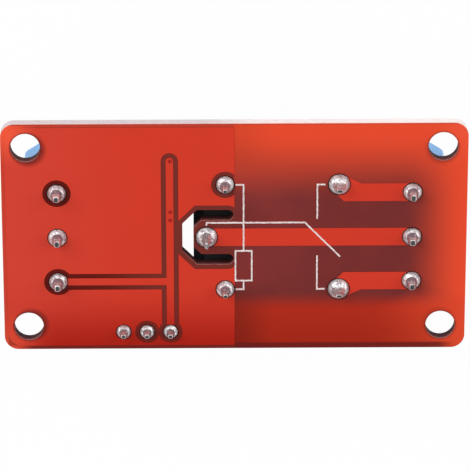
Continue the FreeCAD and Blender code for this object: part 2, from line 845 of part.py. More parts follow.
def make_terminal(side, row_x, leads):
    """One three-pole terminal: housing, clamp cages with pins, pressure leaves and screws."""
    make_housing(side + "_housing", row_x)
    cage_top = size.cage_floor + size.cage_height
    window_width = size.cage_width - size.cage_wall * 2
    cages = []
    for pole, lead in enumerate(leads, start=1):
        y = lead.y * facing(row_x)
        tag = "%s_cage_%d" % (side, pole)
        shell = block(tag + "_shell", cage_span, centred(y, size.cage_width),
                      (-cage_top, -size.cage_floor))
        pin = tapered_pin(tag + "_pin", as_size(0), y, lead.wide_x, lead.wide_y, -cage_window_floor,
                          pin_top)
        window = block(tag + "_window", (cage_span[0] - PAST, cage_span[1] + PAST),
                       centred(y, window_width), (-cage_window_top, -cage_window_floor))
        thread = facet_rod(tag + "_thread", size.screw_diameter + size.screw_clearance * 2,
                           size.cage_axis, y, (-cage_top - PAST, PAST - cage_window_top), SMALL_SIDES)
        cages.append(less(tag, fused(tag + "_metal", [shell, pin]), [window, thread]))
    keep(side + "_clamp_cages", stand(group(side + "_clamp_cages", cages), row_x))

    for pole, lead in enumerate(leads, start=1):
        y = lead.y * facing(row_x)
        leaf_name = "%s_leaf_%d" % (side, pole)
        leaf = new_body(leaf_name)
        profile = new_sketch(leaf, "XZ_Plane", -y)
        under, over, bevel = size.leaf_thickness - screw_tip, -screw_tip, size.leaf_bevel
        start, end = cage_span
        draw_outline(profile, [
            (start + bevel * 2, under), (start + bevel, under - bevel), (start + bevel, over),
            (end - bevel, over), (end - bevel, under - bevel), (end - bevel * 2, under)])
        feature(leaf, "Pad", profile, window_width - size.leaf_bevel, both_ways=True)
        keep(leaf_name, stand(leaf, row_x))

        screw_name = "%s_screw_%d" % (side, pole)
        top = screw_seat + size.screw_head_height
        nose = screw_tip + size.screw_clearance
        head = rod(screw_name + "_head", size.screw_head, 0, 0, (-top, -screw_seat))
        shank = facet_rod(screw_name + "_shank", size.screw_diameter, 0, 0, (-screw_seat, -nose),
                          SMALL_SIDES)
        slot = block(screw_name + "_slot", centred(0, size.screw_slot), centred(0, size.screw_head + PAST),
                     (-top - PAST, size.screw_head_height / 2 - top))
        screw = less(screw_name, fused(screw_name + "_metal", [head, shank]), [slot])
        place(screw, row_x + size.cage_axis * facing(row_x), lead.y, seat)
        keep(screw_name, screw)


# Relay


inner_span = (relay_span[0] + size.case_wall, relay_span[1] - size.case_wall)
inner_width = size.relay_width - size.case_wall * 2
base_top = size.base_recess + size.base_thickness
yoke_back = size.relay_common_x + size.relay_pin_thin / 2
yoke_front = yoke_back + size.yoke_thickness
yoke_floor = base_top + size.yoke_gap
foot_top = yoke_floor + size.yoke_thickness
pole_face = size.yoke_top
upper_flange_top = pole_face - size.pole_thickness - size.fit_gap
lower_flange_floor = foot_top + size.yoke_gap
hinge_x = yoke_back + size.yoke_thickness / 2
hinge_depth = pole_face + size.seat_gap
armature_top = hinge_depth + size.armature_thickness
spring_floor = armature_top + size.fit_gap
spring_top = spring_floor + size.spring_thickness
contact_x = open_lead.x
lower_button = spring_floor - size.contact_height
upper_button = spring_top + size.contact_height
open_strip_top = lower_button - size.seat_gap - size.contact_height
contact_reach = contact_x - hinge_x
swing = math.sin(math.radians(plain(size.armature_angle)))
closed_face = upper_button + (contact_reach + size.contact_diameter / 2) * swing + size.seat_gap
closed_strip_floor = closed_face + size.contact_height


def deep(low, high):
    """The heights between two depths below the component face."""
    return below(high), below(low)


def make_case():
    body = new_body("relay_case")
    outline = new_sketch(body, "XY_Plane", seat)
    draw_box(outline, relay_span, centred(0, size.relay_width))
    feature(body, "Pad", outline, size.relay_height, reverse=True)
    floor = plain(below(size.relay_height))
    soften(body, "Fillet", lambda edge: along(edge, Z_AXIS), size.case_round)
    soften(body, "Chamfer", lambda edge: edge.BoundBox.ZMax < floor + NEAR, size.case_bevel)
    hollow = new_sketch(body, "XY_Plane", seat)
    draw_box(hollow, inner_span, centred(0, inner_width))
    feature(body, "Pocket", hollow, size.relay_height - size.case_top)
    keep("relay_case", body)


def make_base():
    body = new_body("relay_base")
    gap = size.base_clearance
    outline = new_sketch(body, "XY_Plane", below(size.base_recess))
    draw_box(outline, (inner_span[0] + gap, inner_span[1] - gap), centred(0, inner_width - gap * 2))
    feature(body, "Pad", outline, size.base_thickness, reverse=True)
    slots = new_sketch(body, "XY_Plane", below(size.base_recess))
    for lead in relay_leads:
        draw_box(slots, centred(lead.x, lead.wide_x + gap * 2), centred(lead.y, lead.wide_y + gap * 2))
    feature(body, "Pocket", slots, size.base_thickness)
    keep("relay_base", body)


def make_coil():
    """Bobbin with its winding and core, standing in the yoke."""
    core_x = size.core_x
    flange_x = centred(core_x, size.bobbin_length)
    flange_y = centred(0, size.bobbin_width)
    lower = deep(lower_flange_floor, lower_flange_floor + size.bobbin_flange)
    upper = deep(upper_flange_top - size.bobbin_flange, upper_flange_top)
    hub = facet_rod("bobbin_hub", size.bobbin_hub, core_x, 0, deep(lower_flange_floor, upper_flange_top))
    ears = block("bobbin_ears", (flange_x[0], coil_leads[0].x + size.ear_margin),
                 centred(0, (size.relay_pin_y + size.ear_margin) * 2), lower)
    bore = facet_rod("bobbin_bore", size.core_diameter + size.fit_gap * 2, core_x, 0,
                     deep(lower_flange_floor - PAST, upper_flange_top + PAST))
    sockets = [block("bobbin_socket_%d" % i, centred(lead.x, lead.wide_x), centred(lead.y, lead.wide_y),
                     deep(lower_flange_floor - PAST, lower_flange_floor + size.bobbin_flange + PAST))
               for i, lead in enumerate(coil_leads)]
    bobbin = fused("bobbin_form", [block("bobbin_lower", flange_x, flange_y, lower),
                                   block("bobbin_upper", flange_x, flange_y, upper), hub, ears])
    keep("coil_bobbin", less("coil_bobbin", bobbin, [bore] + sockets))

    wire_span = deep(lower_flange_floor + size.bobbin_flange + size.fit_gap,
                     upper_flange_top - size.bobbin_flange - size.fit_gap)
    wire = facet_rod("winding_outside", size.winding_diameter, core_x, 0, wire_span)
    wire_bore = facet_rod("winding_inside", size.bobbin_hub + size.fit_gap * 2, core_x, 0,
                          (wire_span[0] - PAST, wire_span[1] + PAST))
    keep("coil_winding", less("coil_winding", wire, [wire_bore]))

    shoulder = pole_face - size.pole_thickness
    stem = facet_rod("core_stem", size.core_diameter, core_x, 0, deep(yoke_floor, shoulder))
    pole = facet_rod("core_pole", size.pole_diameter, core_x, 0, deep(shoulder, pole_face))
    keep("iron_core", fused("iron_core", [stem, pole]))


def make_yoke():
    body = new_body("yoke")
    profile = new_sketch(body, "XZ_Plane")
    foot_end = yoke_back + size.yoke_foot_length
    draw_outline(profile, [
        (yoke_back, below(pole_face)), (yoke_front, below(pole_face)), (yoke_front, below(foot_top)),
        (foot_end, below(foot_top)), (foot_end, below(yoke_floor)), (yoke_back, below(yoke_floor))])
    feature(body, "Pad", profile, size.yoke_width, both_ways=True)
    bend = (plain(yoke_back), plain(below(yoke_floor)))
    soften(body, "Fillet",
           lambda edge: along(edge, Y_AXIS) and abs(edge.Vertexes[0].X - bend[0]) < NEAR
           and abs(edge.Vertexes[0].Z - bend[1]) < NEAR, size.yoke_bend)
    bore = new_sketch(body, "XY_Plane", below(yoke_floor))
    draw_circle(bore, size.core_x, 0, size.core_diameter)
    feature(body, "Pocket", bore, size.yoke_thickness)
    keep("yoke", body)


def released(thing):
    """Swing a piece of the armature from its seat on the core back to rest."""
    pivot = vector(hinge_x, 0, below(hinge_depth))
    swing_back = FreeCAD.Rotation(Y_AXIS, plain(size.armature_angle))
    thing.Placement = FreeCAD.Placement(FreeCAD.Vector(), swing_back, pivot).multiply(thing.Placement)
    return thing


def make_armature():
    """Armature, contact spring and moving contact, drawn seated and then released."""
    heel = hinge_x - size.armature_heel
    plate = block("armature_plate", (heel, heel + size.armature_length),
                  centred(0, size.armature_width), deep(hinge_depth, armature_top))
    armature = document.addObject("Part::Chamfer", "armature_edges")
    document.recompute()
    armature.Base = plate
    bevel = plain(size.armature_bevel)
    top = plain(below(armature_top))
    armature.Edges = [(i + 1, bevel, bevel) for i, edge in enumerate(plate.Shape.Edges)
                      if edge.BoundBox.ZMax < top + NEAR]
    keep("armature", released(armature))

    tail_x = yoke_back - size.spring_thickness
    profile = new_body("contact_spring")
    sketch = new_sketch(profile, "XZ_Plane")
    end_x = contact_x + size.contact_diameter / 2
    tail_depth = hinge_depth - size.spring_tail
    draw_outline(sketch, [
        (tail_x, below(tail_depth)), (tail_x, below(spring_floor)), (end_x, below(spring_floor)),
        (end_x, below(spring_top)), (tail_x - size.spring_thickness, below(spring_top)),
        (tail_x - size.spring_thickness, below(tail_depth))])
    feature(profile, "Pad", sketch, size.spring_width, both_ways=True)
    eye = new_sketch(profile, "XY_Plane", below(spring_floor - PAST))
    draw_circle(eye, contact_x, 0, size.contact_shank)
    feature(profile, "Pocket", eye, size.spring_thickness + PAST * 2)
    keep("contact_spring", released(profile))

    levels = (("lower", size.contact_diameter, lower_button, spring_floor),
              ("shank", size.contact_shank, spring_floor, spring_top),
              ("upper", size.contact_diameter, spring_top, upper_button))
    contact = fused("moving_contact", [
        facet_rod("moving_contact_" + word, diameter, contact_x, 0, deep(low, high))
        for word, diameter, low, high in levels])
    keep("moving_contact", released(contact))


def make_contacts():
    """The two fixed contacts on their bent strips, and the common and coil leads."""
    rivets = []
    open_strip_floor = open_strip_top - size.strip_thickness
    for name, lead, floor, side in (("open_contact_strip", open_lead, open_strip_floor, 1),
                                    ("closed_contact_strip", closed_lead, closed_strip_floor, -1)):
        body = new_body(name)
        profile = new_sketch(body, "YZ_Plane", contact_x)
        outside = lead.y + size.strip_thickness / 2 * side
        inside = lead.y - size.strip_thickness / 2 * side
        reach = as_size(-side) * (size.contact_diameter / 2 + size.strip_overhang)
        points = [(outside, below(base_top)), (outside, below(floor + size.strip_thickness)),
                  (reach, below(floor + size.strip_thickness)), (reach, below(floor)),
                  (inside, below(floor)), (inside, below(base_top))]
        draw_outline(profile, points)
        feature(body, "Pad", profile, size.strip_width, both_ways=True)
        soften(body, "Fillet", lambda edge, y=plain(outside), z=plain(below(floor + size.strip_thickness)):
               along(edge, X_AXIS) and abs(edge.Vertexes[0].Y - y) < NEAR
               and abs(edge.Vertexes[0].Z - z) < NEAR, size.strip_bend)
        pin = lead.bar(name + "_pin", below(base_top))
        keep(name, fused(name + "_metal", [body, pin]))
        if side > 0:
            rivet = deep(open_strip_top, open_strip_top + size.contact_height)
        else:
            rivet = deep(closed_face, closed_face + size.contact_height)
        rivets.append(facet_rod(name + "_rivet", size.contact_diameter, contact_x, 0, rivet))
    keep("fixed_contacts", group("fixed_contacts", rivets))
    common_depth = yoke_floor + size.common_weld
    keep("common_terminal", common_lead.bar("common_terminal", below(common_depth)))
    pin_depth = lower_flange_floor + size.bobbin_flange + size.coil_pin_stand
    pins = [lead.bar("coil_pin_%d" % i, below(pin_depth)) for i, lead in enumerate(coil_leads, start=1)]
    keep("coil_pins", group("coil_pins", pins))


# Trigger header


def make_header():
    body = new_body("header_block")
    outline = new_sketch(body, "XY_Plane", seat)
    half, notch = size.header_pitch / 2, size.header_notch
    points = []
    for step in (-1, 0, 1):
        x = size.header_x + size.header_pitch * step
        points += [(x - half, header_y - half + notch), (x - half + notch, header_y - half),
                   (x + half - notch, header_y - half), (x + half, header_y - half + notch)]
    points = [p for i, p in enumerate(points) if i not in (4, 8)]
    upper = [(x, header_y * 2 - y) for x, y in reversed(points)]
    draw_outline(outline, points + upper)
    feature(body, "Pad", outline, size.header_height, reverse=True)
    slots = new_sketch(body, "XY_Plane", seat)
    for lead in header_leads:
        draw_box(slots, centred(lead.x, lead.wide_x), centred(lead.y, lead.wide_y))
    feature(body, "Pocket", slots, size.header_height)
    keep("header_block", body)

    reach = size.header_height + size.header_pin_reach
    pins = [lead.bar("header_pin_%d" % i, below(reach)) for i, lead in enumerate(header_leads, start=1)]
    keep("header_pins", group("header_pins", pins))

    # Jumper cap on the first two pins, with its contact clip inside
    middle = size.header_x - size.header_pitch / 2
    cap_span = centred(middle, size.jumper_length)
    cap_y = centred(header_y, size.jumper_width)
    wall, room = size.jumper_wall, size.jumper_room
    rim = size.header_height + room
    ceiling = size.header_height + size.header_pin_reach + room
    crown = ceiling + wall
    cap = new_body("jumper_cap")
    outline = new_sketch(cap, "XY_Plane", below(rim))
    draw_box(outline, cap_span, cap_y)
    feature(cap, "Pad", outline, crown - rim, reverse=True)
    soften(cap, "Fillet", lambda edge: along(edge, Z_AXIS), size.jumper_round)
    hollow = new_sketch(cap, "XY_Plane", below(rim))
    draw_box(hollow, (cap_span[0] + wall, cap_span[1] - wall), (cap_y[0] + wall, cap_y[1] - wall))
    feature(cap, "Pocket", hollow, ceiling - rim)
    window = new_sketch(cap, "XY_Plane", below(crown))
    draw_box(window, centred(middle, size.jumper_length - size.header_pitch),
             centred(header_y, size.jumper_window))
    feature(cap, "Pocket", window, wall + PAST, reverse=True)
    keep("jumper_cap", cap)

    clip, gap = size.clip_thickness, size.fit_gap
    inner = (cap_y[0] + wall + gap, cap_y[1] - wall - gap)
    clip_x = (cap_span[0] + wall + gap, cap_span[1] - wall - gap)
    clip_z = deep(rim + size.clip_rim_gap, crown - wall - size.clip_crown_gap)
    metal = block("clip_metal", clip_x, inner, clip_z)
    beyond = (clip_z[0] - PAST, clip_z[1] + PAST)
    sleeves = [block("clip_sleeve_%d" % i, centred(lead.x, lead.wide_x + gap),
                     centred(lead.y, lead.wide_y + gap), beyond)
               for i, lead in enumerate(header_leads[:2])]
    waist = centred(middle, size.header_pitch - size.header_pin - clip * 2)
    opening = block("clip_waist", waist, (inner[0] - PAST, inner[1] - clip), beyond)
    keep("jumper_clip", less("jumper_clip", metal, sleeves + [opening]))


# Surface-mounted parts on the component face


def gull_lead(name, x, y, side, width, span, body_half, rise):
    """One formed lead: a foot on its pad, a riser and a shoulder into the body."""
    thick = size.lead_metal
    outer = y + (span / 2) * side
    knee = outer - size.lead_foot * side
    inner = y + body_half * side
    ends = sorted((outer, knee), key=plain)
    leg = sorted((knee, knee + thick * side), key=plain)
    neck = sorted((knee + thick * side, inner), key=plain)
    x_span = centred(x, width)
    return fused(name, [
        block(name + "_foot", x_span, tuple(ends), deep(0, thick)),
        block(name + "_riser", x_span, tuple(leg), deep(0, rise + thick)),
        block(name + "_neck", x_span, tuple(neck), deep(rise, rise + thick))])


class Chip:
    """A two-ended part with metal end caps, lying along Y."""

    def __init__(self, name, x, y, height):
        self.name, self.x, self.y, self.height = name, x, y, height

    def caps(self):
        half, cap = size.chip_length / 2, size.chip_cap
        return [block("%s_cap_%d" % (self.name, i), centred(self.x, size.chip_width), span,
                      deep(0, self.height))
                for i, span in enumerate(((self.y - half, self.y - half + cap),
                                          (self.y + half - cap, self.y + half)))]

    def middle(self):
        half = size.chip_length / 2 - size.chip_cap
        return block(self.name + "_body", centred(self.x, size.chip_width),
                     (self.y - half, self.y + half), deep(size.chip_standoff, self.height))

    def pad_spots(self):
        return [(self.x, self.y + (size.chip_length / 2) * side, size.chip_width + size.pad_margin / 2,
                 size.chip_pad) for side in (-1, 1)]


def make_surface_parts():
    pads = []
    standoff, margin, foot = size.part_standoff, size.pad_margin, size.lead_foot

    def foot_pad(x, y, side, span, width):
        """The pad under one formed lead's foot."""
        return x, y + (span / 2 - foot / 2) * side, width + margin, foot + margin

    # Optocoupler
    opto = new_body("optocoupler_body")
    outline = new_sketch(opto, "XZ_Plane", -size.opto_y)
    x_span = centred(size.opto_x, size.opto_width)
    bevel, draft = size.opto_bevel, size.opto_draft
    top, floor, waist = below(size.opto_height), below(standoff), below(size.opto_rise)
    left, right = x_span[0] + draft, x_span[1] - draft
    draw_outline(outline, [
        (left, floor), (right, floor), (x_span[1], waist), (right, top + bevel),
        (right - bevel, top), (left, top), (x_span[0], waist)])
    feature(opto, "Pad", outline, size.opto_length, both_ways=True)
    keep("optocoupler_body", opto)
    leads = []
    for column in (-1, 1):
        for side in (-1, 1):
            x = size.opto_x + size.header_pitch / 2 * column
            leads.append(gull_lead("opto_lead_%d" % len(leads), x, size.opto_y, side,
                                   size.opto_lead_width, size.opto_span, size.opto_length / 2,
                                   size.opto_rise))
            pads.append(foot_pad(x, size.opto_y, side, size.opto_span, size.opto_lead_width))
    keep("optocoupler_leads", group("optocoupler_leads", leads))

    # Driver transistor
    tr_x, tr_y, width = size.transistor_x, size.transistor_y, size.transistor_lead_width
    keep("transistor_body", block("transistor_body", centred(tr_x, size.transistor_length),
                                  centred(tr_y, size.transistor_width),
                                  deep(standoff, size.transistor_height)))
    feet = [(tr_x - size.transistor_lead_step, -1), (tr_x + size.transistor_lead_step, -1), (tr_x, 1)]
    leads = [gull_lead("transistor_lead_%d" % i, x, tr_y, side, width, size.transistor_span,
                       size.transistor_width / 2, size.transistor_rise)
             for i, (x, side) in enumerate(feet)]
    pads += [foot_pad(x, tr_y, side, size.transistor_span, width) for x, side in feet]
    keep("transistor_leads", group("transistor_leads", leads))

    # Flyback diode
    d_x, d_y, width = size.diode_x, size.diode_y, size.diode_lead_width
    keep("diode_body", block("diode_body", centred(d_x, size.diode_width),
                             centred(d_y, size.diode_length), deep(standoff, size.diode_height)))
    leads = [gull_lead("diode_lead_%d" % i, d_x, d_y, side, width, size.diode_span,
                       size.diode_length / 2, size.diode_height / 2) for i, side in enumerate((-1, 1))]
    pads += [foot_pad(d_x, d_y, side, size.diode_span, width) for side in (-1, 1)]
    keep("diode_leads", group("diode_leads", leads))

    # Two indicator lamps and five resistors share one form
    lamps = [Chip("power_lamp", size.lamp_left_x, size.lamp_row_y, size.lamp_height),
             Chip("trigger_lamp", size.lamp_right_x, size.lamp_row_y, size.lamp_height)]
    upper_y, lower_y = tr_y + size.base_resistor_rise, tr_y - size.pull_resistor_drop
    spots = [(size.lamp_left_x, size.resistor_row_y), (size.lamp_right_x, size.resistor_row_y),
             (tr_x - size.base_resistor_step, upper_y), (tr_x + size.base_resistor_step, upper_y),
             (tr_x, lower_y)]
    resistors = [Chip("resistor_%d" % i, x, y, size.chip_height) for i, (x, y) in enumerate(spots, start=1)]
    for chip in lamps:
        keep(chip.name, chip.middle())
    keep("resistor_bodies", group("resistor_bodies", [chip.middle() for chip in resistors]))
    caps = [cap for chip in lamps + resistors for cap in chip.caps()]
    keep("chip_end_caps", group("chip_end_caps", caps))
    for chip in lamps + resistors:
        pads += chip.pad_spots()
    return pads


def make_component_copper(pads):
    """The pads and tracks on the component face."""
    layer = (seat, component_face)
    through = (seat - PAST, component_face + PAST)
    plates = [block("surface_pad_%d" % i, centred(x, wide), centred(y, long), layer)
              for i, (x, y, wide, long) in enumerate(pads)]
    half = size.chip_length / 2
    left, right, supply_x = size.lamp_left_x, size.lamp_right_x, size.supply_track_x
    lamp_y, resistor_y = size.lamp_row_y, size.resistor_row_y
    supply = input_leads[0]
    anode_y = size.opto_y + size.opto_span / 2 - size.lead_foot / 2
    runs = [
        [(supply.x, supply.y), (supply_x, supply.y), (supply_x, lamp_y + half), (left, lamp_y + half)],
        [(supply_x, supply.y), (supply_x, anode_y), (size.opto_x - size.header_pitch / 2, anode_y)],
        [(left, lamp_y - half), (left, resistor_y + half)],
        [(right, lamp_y - half), (right, resistor_y + half)],
        [(left, resistor_y - half), (header_leads[0].x, header_leads[0].y)],
        [(right, resistor_y - half), (header_leads[1].x, header_leads[1].y)],
    ]
    bands = [band("surface_run_%d" % i, run, size.surface_track_width, *layer)
             for i, run in enumerate(runs)]
    joined = [supply] + header_leads[:2]
    rings = copper_rounds("surface_ring", [(lead.x, lead.y, lead.pad) for lead in joined], layer)
    holes = [lead.opening("surface_hole_%d" % i, through) for i, lead in enumerate(joined)]
    copper = fused("component_copper", plates + bands + rings)
    keep("component_tracks", less("component_tracks", copper, holes))


make_board()
make_copper()
make_legend()
make_solder()
make_terminal("input", size.input_row_x, input_leads)
make_terminal("output", output_row_x, output_leads)
make_case()
make_base()
make_coil()
make_yoke()
make_armature()
make_contacts()
make_header()
make_component_copper(make_surface_parts())

document.recompute()
for thing in document.Objects:
    if "Invalid" in thing.State or "Error" in thing.State:
        raise RuntimeError("%s did not build: %s" % (thing.Label, thing.State))
os.makedirs("parts", exist_ok=True)
for name, thing in nodes.items():
    shape = thing.Shape
    if shape.isNull() or not shape.isValid() or not shape.Solids:
        raise RuntimeError("%s has no sound solid" % name)
    shape.exportStep("parts/%s.step" % name)
    print("%-24s solids %2d volume %9.3f" % (name, len(shape.Solids), shape.Volume))
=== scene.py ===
import json
import math

import bmesh
import bpy
from bpy.props import FloatProperty, FloatVectorProperty, IntProperty, PointerProperty
from bpy.types import Operator, Panel, PropertyGroup
from mathutils import Matrix, Vector, noise


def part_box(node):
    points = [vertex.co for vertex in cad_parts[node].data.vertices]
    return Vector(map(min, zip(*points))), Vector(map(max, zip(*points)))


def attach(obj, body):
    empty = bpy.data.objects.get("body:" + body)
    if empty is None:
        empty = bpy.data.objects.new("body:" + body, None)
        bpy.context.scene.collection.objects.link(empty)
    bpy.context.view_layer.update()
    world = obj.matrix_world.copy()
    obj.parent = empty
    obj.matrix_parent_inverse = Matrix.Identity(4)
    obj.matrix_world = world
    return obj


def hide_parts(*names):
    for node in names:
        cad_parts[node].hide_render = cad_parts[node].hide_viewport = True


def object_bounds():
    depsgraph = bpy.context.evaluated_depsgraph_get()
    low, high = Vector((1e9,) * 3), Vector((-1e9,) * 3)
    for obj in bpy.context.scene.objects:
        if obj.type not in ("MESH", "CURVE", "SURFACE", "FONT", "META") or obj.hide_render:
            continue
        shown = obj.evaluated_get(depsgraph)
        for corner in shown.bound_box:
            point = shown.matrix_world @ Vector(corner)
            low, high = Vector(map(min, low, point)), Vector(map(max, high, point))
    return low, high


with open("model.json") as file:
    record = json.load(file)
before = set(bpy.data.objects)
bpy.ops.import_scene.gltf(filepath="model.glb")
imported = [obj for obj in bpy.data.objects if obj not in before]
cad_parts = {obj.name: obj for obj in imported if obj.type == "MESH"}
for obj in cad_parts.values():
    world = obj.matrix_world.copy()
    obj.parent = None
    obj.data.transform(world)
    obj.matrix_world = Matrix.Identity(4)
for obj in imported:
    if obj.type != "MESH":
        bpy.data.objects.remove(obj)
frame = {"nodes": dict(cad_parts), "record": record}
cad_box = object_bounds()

bl_info = {
    "name": "Relay Module Board",
    "version": (1, 0, 0),
    "blender": (4, 5, 0),
    "location": "3D View > Sidebar > Relay Board",
    "description": "Finishes a relay module board that lies solder side up",
    "category": "Object",
}

MM = 0.001
SIDES = ("input", "output")
POLES = (1, 2, 3)

# The finishes of a solder joint, in the order of its material slots
BRIGHT, RIM, CLIPPED, COATED = range(4)

# Where painted shade and painted light start and end on the solder side, in millimetres from the middle of
# the board
STRIP_WIDTH, STRIP_ENDS = (-13.5, -5.0), (18.5, 24.6)
CORNER_LENGTH, CORNER_WIDTH = (20.5, 24.6), (7.5, 12.3)
SHEEN_LENGTH, INNER_GAPS = (-24.7, -9.0), (-16.0, -7.0)
BESIDE_SLOT, NEAR_ROW, SLOT_ROW, FAR_ROW = (0.0, 5.0), (-9.0, -5.0), (-1.0, 3.4), (7.0, 10.0)
RELAY_LENGTH, RELAY_WIDTH = (2.0, 12.0), (-5.0, 7.0)
NEAR_LINE_ENDS, HALVES_MEET = (-22.6, 23.0), (-0.2, 0.1)

# Where the look of the board's cut walls changes, along the board and below its solder face, in millimetres
RIGHT_FIBRES, THINNER_RESIN = (-4.0, 4.0), (6.0, 18.0)
# LIT_WALL spans the painted light and shade down the hole and slot walls; WALL_LIP holds their painted
# highlight.
WARM_TOP, LIT_WALL, WALL_LIP = (-0.42, -0.05), (-0.9, 0.0), (-0.16, -0.08)

# How far a lead stands out at least, how near its top the corners of its end lie, and how far from its foot
# and its top those of its wide part lie
LEAST_LEAD, END_DEPTH, FOOT_GAP, TOP_GAP = 0.5 * MM, 0.01 * MM, 0.1 * MM, 0.2 * MM

# Noise on the edges of the print: its scale per millimetre, and how far off the second direction reads it
PRINT_NOISE, PRINT_SHIFT = 3.1, Vector((31.7, 4.2, 0))


# Materials


class Field:
    """A number, colour or direction that varies over a surface, held by the socket that gives it."""

    def __init__(self, nodes, socket):
        self.nodes = nodes
        self.socket = socket

    def maths(self, operation, first, second=0.0):
        """What a Math node makes of two values."""
        return self.nodes.add("ShaderNodeMath", {"operation": operation}, {0: first, 1: second})

    def __add__(self, other):
        return self.maths("ADD", self, other)

    def __radd__(self, other):
        return self.maths("ADD", other, self)

    def __sub__(self, other):
        return self.maths("SUBTRACT", self, other)

    def __rsub__(self, other):
        return self.maths("SUBTRACT", other, self)

    def __mul__(self, other):
        return self.maths("MULTIPLY", self, other)

    def __rmul__(self, other):
        return self.maths("MULTIPLY", other, self)

    def __truediv__(self, other):
        return self.maths("DIVIDE", self, other)

    def __abs__(self):
        return self.maths("ABSOLUTE", self)

    def root(self):
        """The square root."""
        return self.maths("SQRT", self)

    def highest(self, other):
        """The larger of two values."""
        return self.maths("MAXIMUM", self, other)

    def zigzag(self, height):
        """0 up to a height and back to 0, over and over."""
        return self.maths("PINGPONG", self, height)

    def rising(self, start, end):
        """0 up to start, 1 from end on, with a soft step between."""
        sockets = {"Value": self, "From Min": start, "From Max": end}
        return self.nodes.add("ShaderNodeMapRange", {"interpolation_type": "SMOOTHSTEP"}, sockets)

    def falling(self, start, end):
        """1 up to start, 0 from end on."""
        return 1.0 - self.rising(start, end)

    def between(self, start, end, blur):
        """1 between two values and 0 outside, with a soft edge at each."""
        return self.rising(start - blur, start + blur) * self.falling(end - blur, end + blur)


class Nodes:
    """A tree of nodes, in which every node is made by one method."""

    def __init__(self, owner):
        owner.use_nodes = True
        self.tree = owner.node_tree

    def feed(self, socket, value):
        """Link what varies to a socket, or write a constant on it."""
        if isinstance(value, Field):
            self.tree.links.new(value.socket, socket)
        elif hasattr(value, "__len__") and len(value) == 3 and socket.type == "RGBA":
            socket.default_value = (*value, 1.0)
        else:
            socket.default_value = value

    def add(self, kind, settings=None, sockets=None, output=0):
        """Any node, with its settings first and then what its sockets take."""
        node = self.tree.nodes.new(kind)
        for word, value in (settings or {}).items():
            setattr(node, word, value)
        for key, value in (sockets or {}).items():
            self.feed(node.inputs[key], value)
        return Field(self, node.outputs[output])

    def end_with(self, shader):
        """Give the finished shader to the tree's own output node."""
        for node in self.tree.nodes:
            if node.type in ("OUTPUT_MATERIAL", "OUTPUT_WORLD"):
                self.feed(node.inputs["Surface"], shader)

    def rays(self, *outputs):
        """1 for rays of any of these kinds, such as Is Camera Ray."""
        kinds = [self.add("ShaderNodeLightPath", output=name) for name in outputs]
        seen = kinds[0]
        for kind in kinds[1:]:
            seen = seen.highest(kind)
        return seen


class Finish(Nodes):
    """One material and the nodes that give its looks. Lengths on the surface are in millimetres."""

    def __init__(self, name, **constants):
        self.material = bpy.data.materials.new(name)
        super().__init__(self.material)
        self.surface = self.tree.nodes["Principled BSDF"]
        self.show(**constants)
        self.point = None
        self.coordinates = None

    def show(self, **inputs):
        """Set or link the sockets of the surface, such as base_color or roughness."""
        for word, value in inputs.items():
            socket = " ".join(part.capitalize() for part in word.split("_")).replace("Ior", "IOR")
            self.feed(self.surface.inputs[socket], value)

    def place(self):
        """Where a point lies on the part, in millimetres."""
        if self.point is None:
            metres = self.add("ShaderNodeTexCoord", output="Object")
            sockets = {0: metres, "Scale": 1 / MM}
            self.point = self.add("ShaderNodeVectorMath", {"operation": "SCALE"}, sockets)
        return self.point

    def axes(self):
        """The place along the board, across it and up."""
        if self.coordinates is None:
            sockets = {0: self.place()}
            self.coordinates = [self.add("ShaderNodeSeparateXYZ", None, sockets, axis) for axis in range(3)]
        return self.coordinates

    def upward(self):
        """How far the surface faces up, from -1 to 1."""
        normal = self.add("ShaderNodeNewGeometry", output="Normal")
        return self.add("ShaderNodeSeparateXYZ", None, {0: normal}, 2)

    def stretched(self, scale):
        """The place with each axis multiplied, for grain that runs one way."""
        return self.add("ShaderNodeVectorMath", {"operation": "MULTIPLY"}, {0: self.place(), 1: scale})

    def grain(self, size, detail=3.0, place=None, roughness=0.55):
        """Smooth noise from 0 to 1 whose features are about size millimetres across."""
        sockets = {"Vector": place or self.place(), "Scale": 1.0 / size, "Detail": detail,
                   "Roughness": roughness}
        return self.add("ShaderNodeTexNoise", {"noise_dimensions": "3D"}, sockets)

    def dot(self, centre, radius, blur):
        """1 in an upright round spot and 0 outside it."""
        x, y, _ = self.axes()
        across, along = x - centre[0], y - centre[1]
        reach = (across * across + along * along).root()
        return reach.falling(radius - blur, radius + blur)

    def mix(self, factor, first, second):
        """The first colour where the factor is 0 and the second where it is 1."""
        return self.add("ShaderNodeMix", {"data_type": "RGBA"}, {0: factor, 6: first, 7: second}, 2)

    def tinted(self, colour, factor):
        """A colour made lighter or darker by a factor that varies."""
        grey = self.add("ShaderNodeCombineXYZ", None, {0: factor, 1: factor, 2: factor})
        product = {"data_type": "RGBA", "blend_type": "MULTIPLY"}
        return self.add("ShaderNodeMix", product, {0: 1.0, 6: colour, 7: grey}, 2)

    def bump(self, height, depth):
        """Relief of a depth in millimetres, from a height between 0 and 1."""
        return self.add("ShaderNodeBump", None, {"Height": height, "Distance": depth * MM})


def near_edge_shade(finish):
    """How far a place on the board lies in the painted shade along its near edge, which fades at both ends.
    """
    x, y, _ = finish.axes()
    return y.falling(*STRIP_WIDTH) * (1.0 - 0.6 * abs(x).rising(*STRIP_ENDS))


def corners(finish):
    """How near a place on the board is to a corner. Painted light makes the corners paler, most of all the
    far left one.
    """
    x, y, _ = finish.axes()
    strength = (0.4 + 0.6 * y.rising(-3.0, 3.0)) * (1.0 - 0.5 * x.rising(-1.0, 1.0))
    return abs(x).rising(*CORNER_LENGTH) * abs(y).rising(*CORNER_WIDTH) * strength


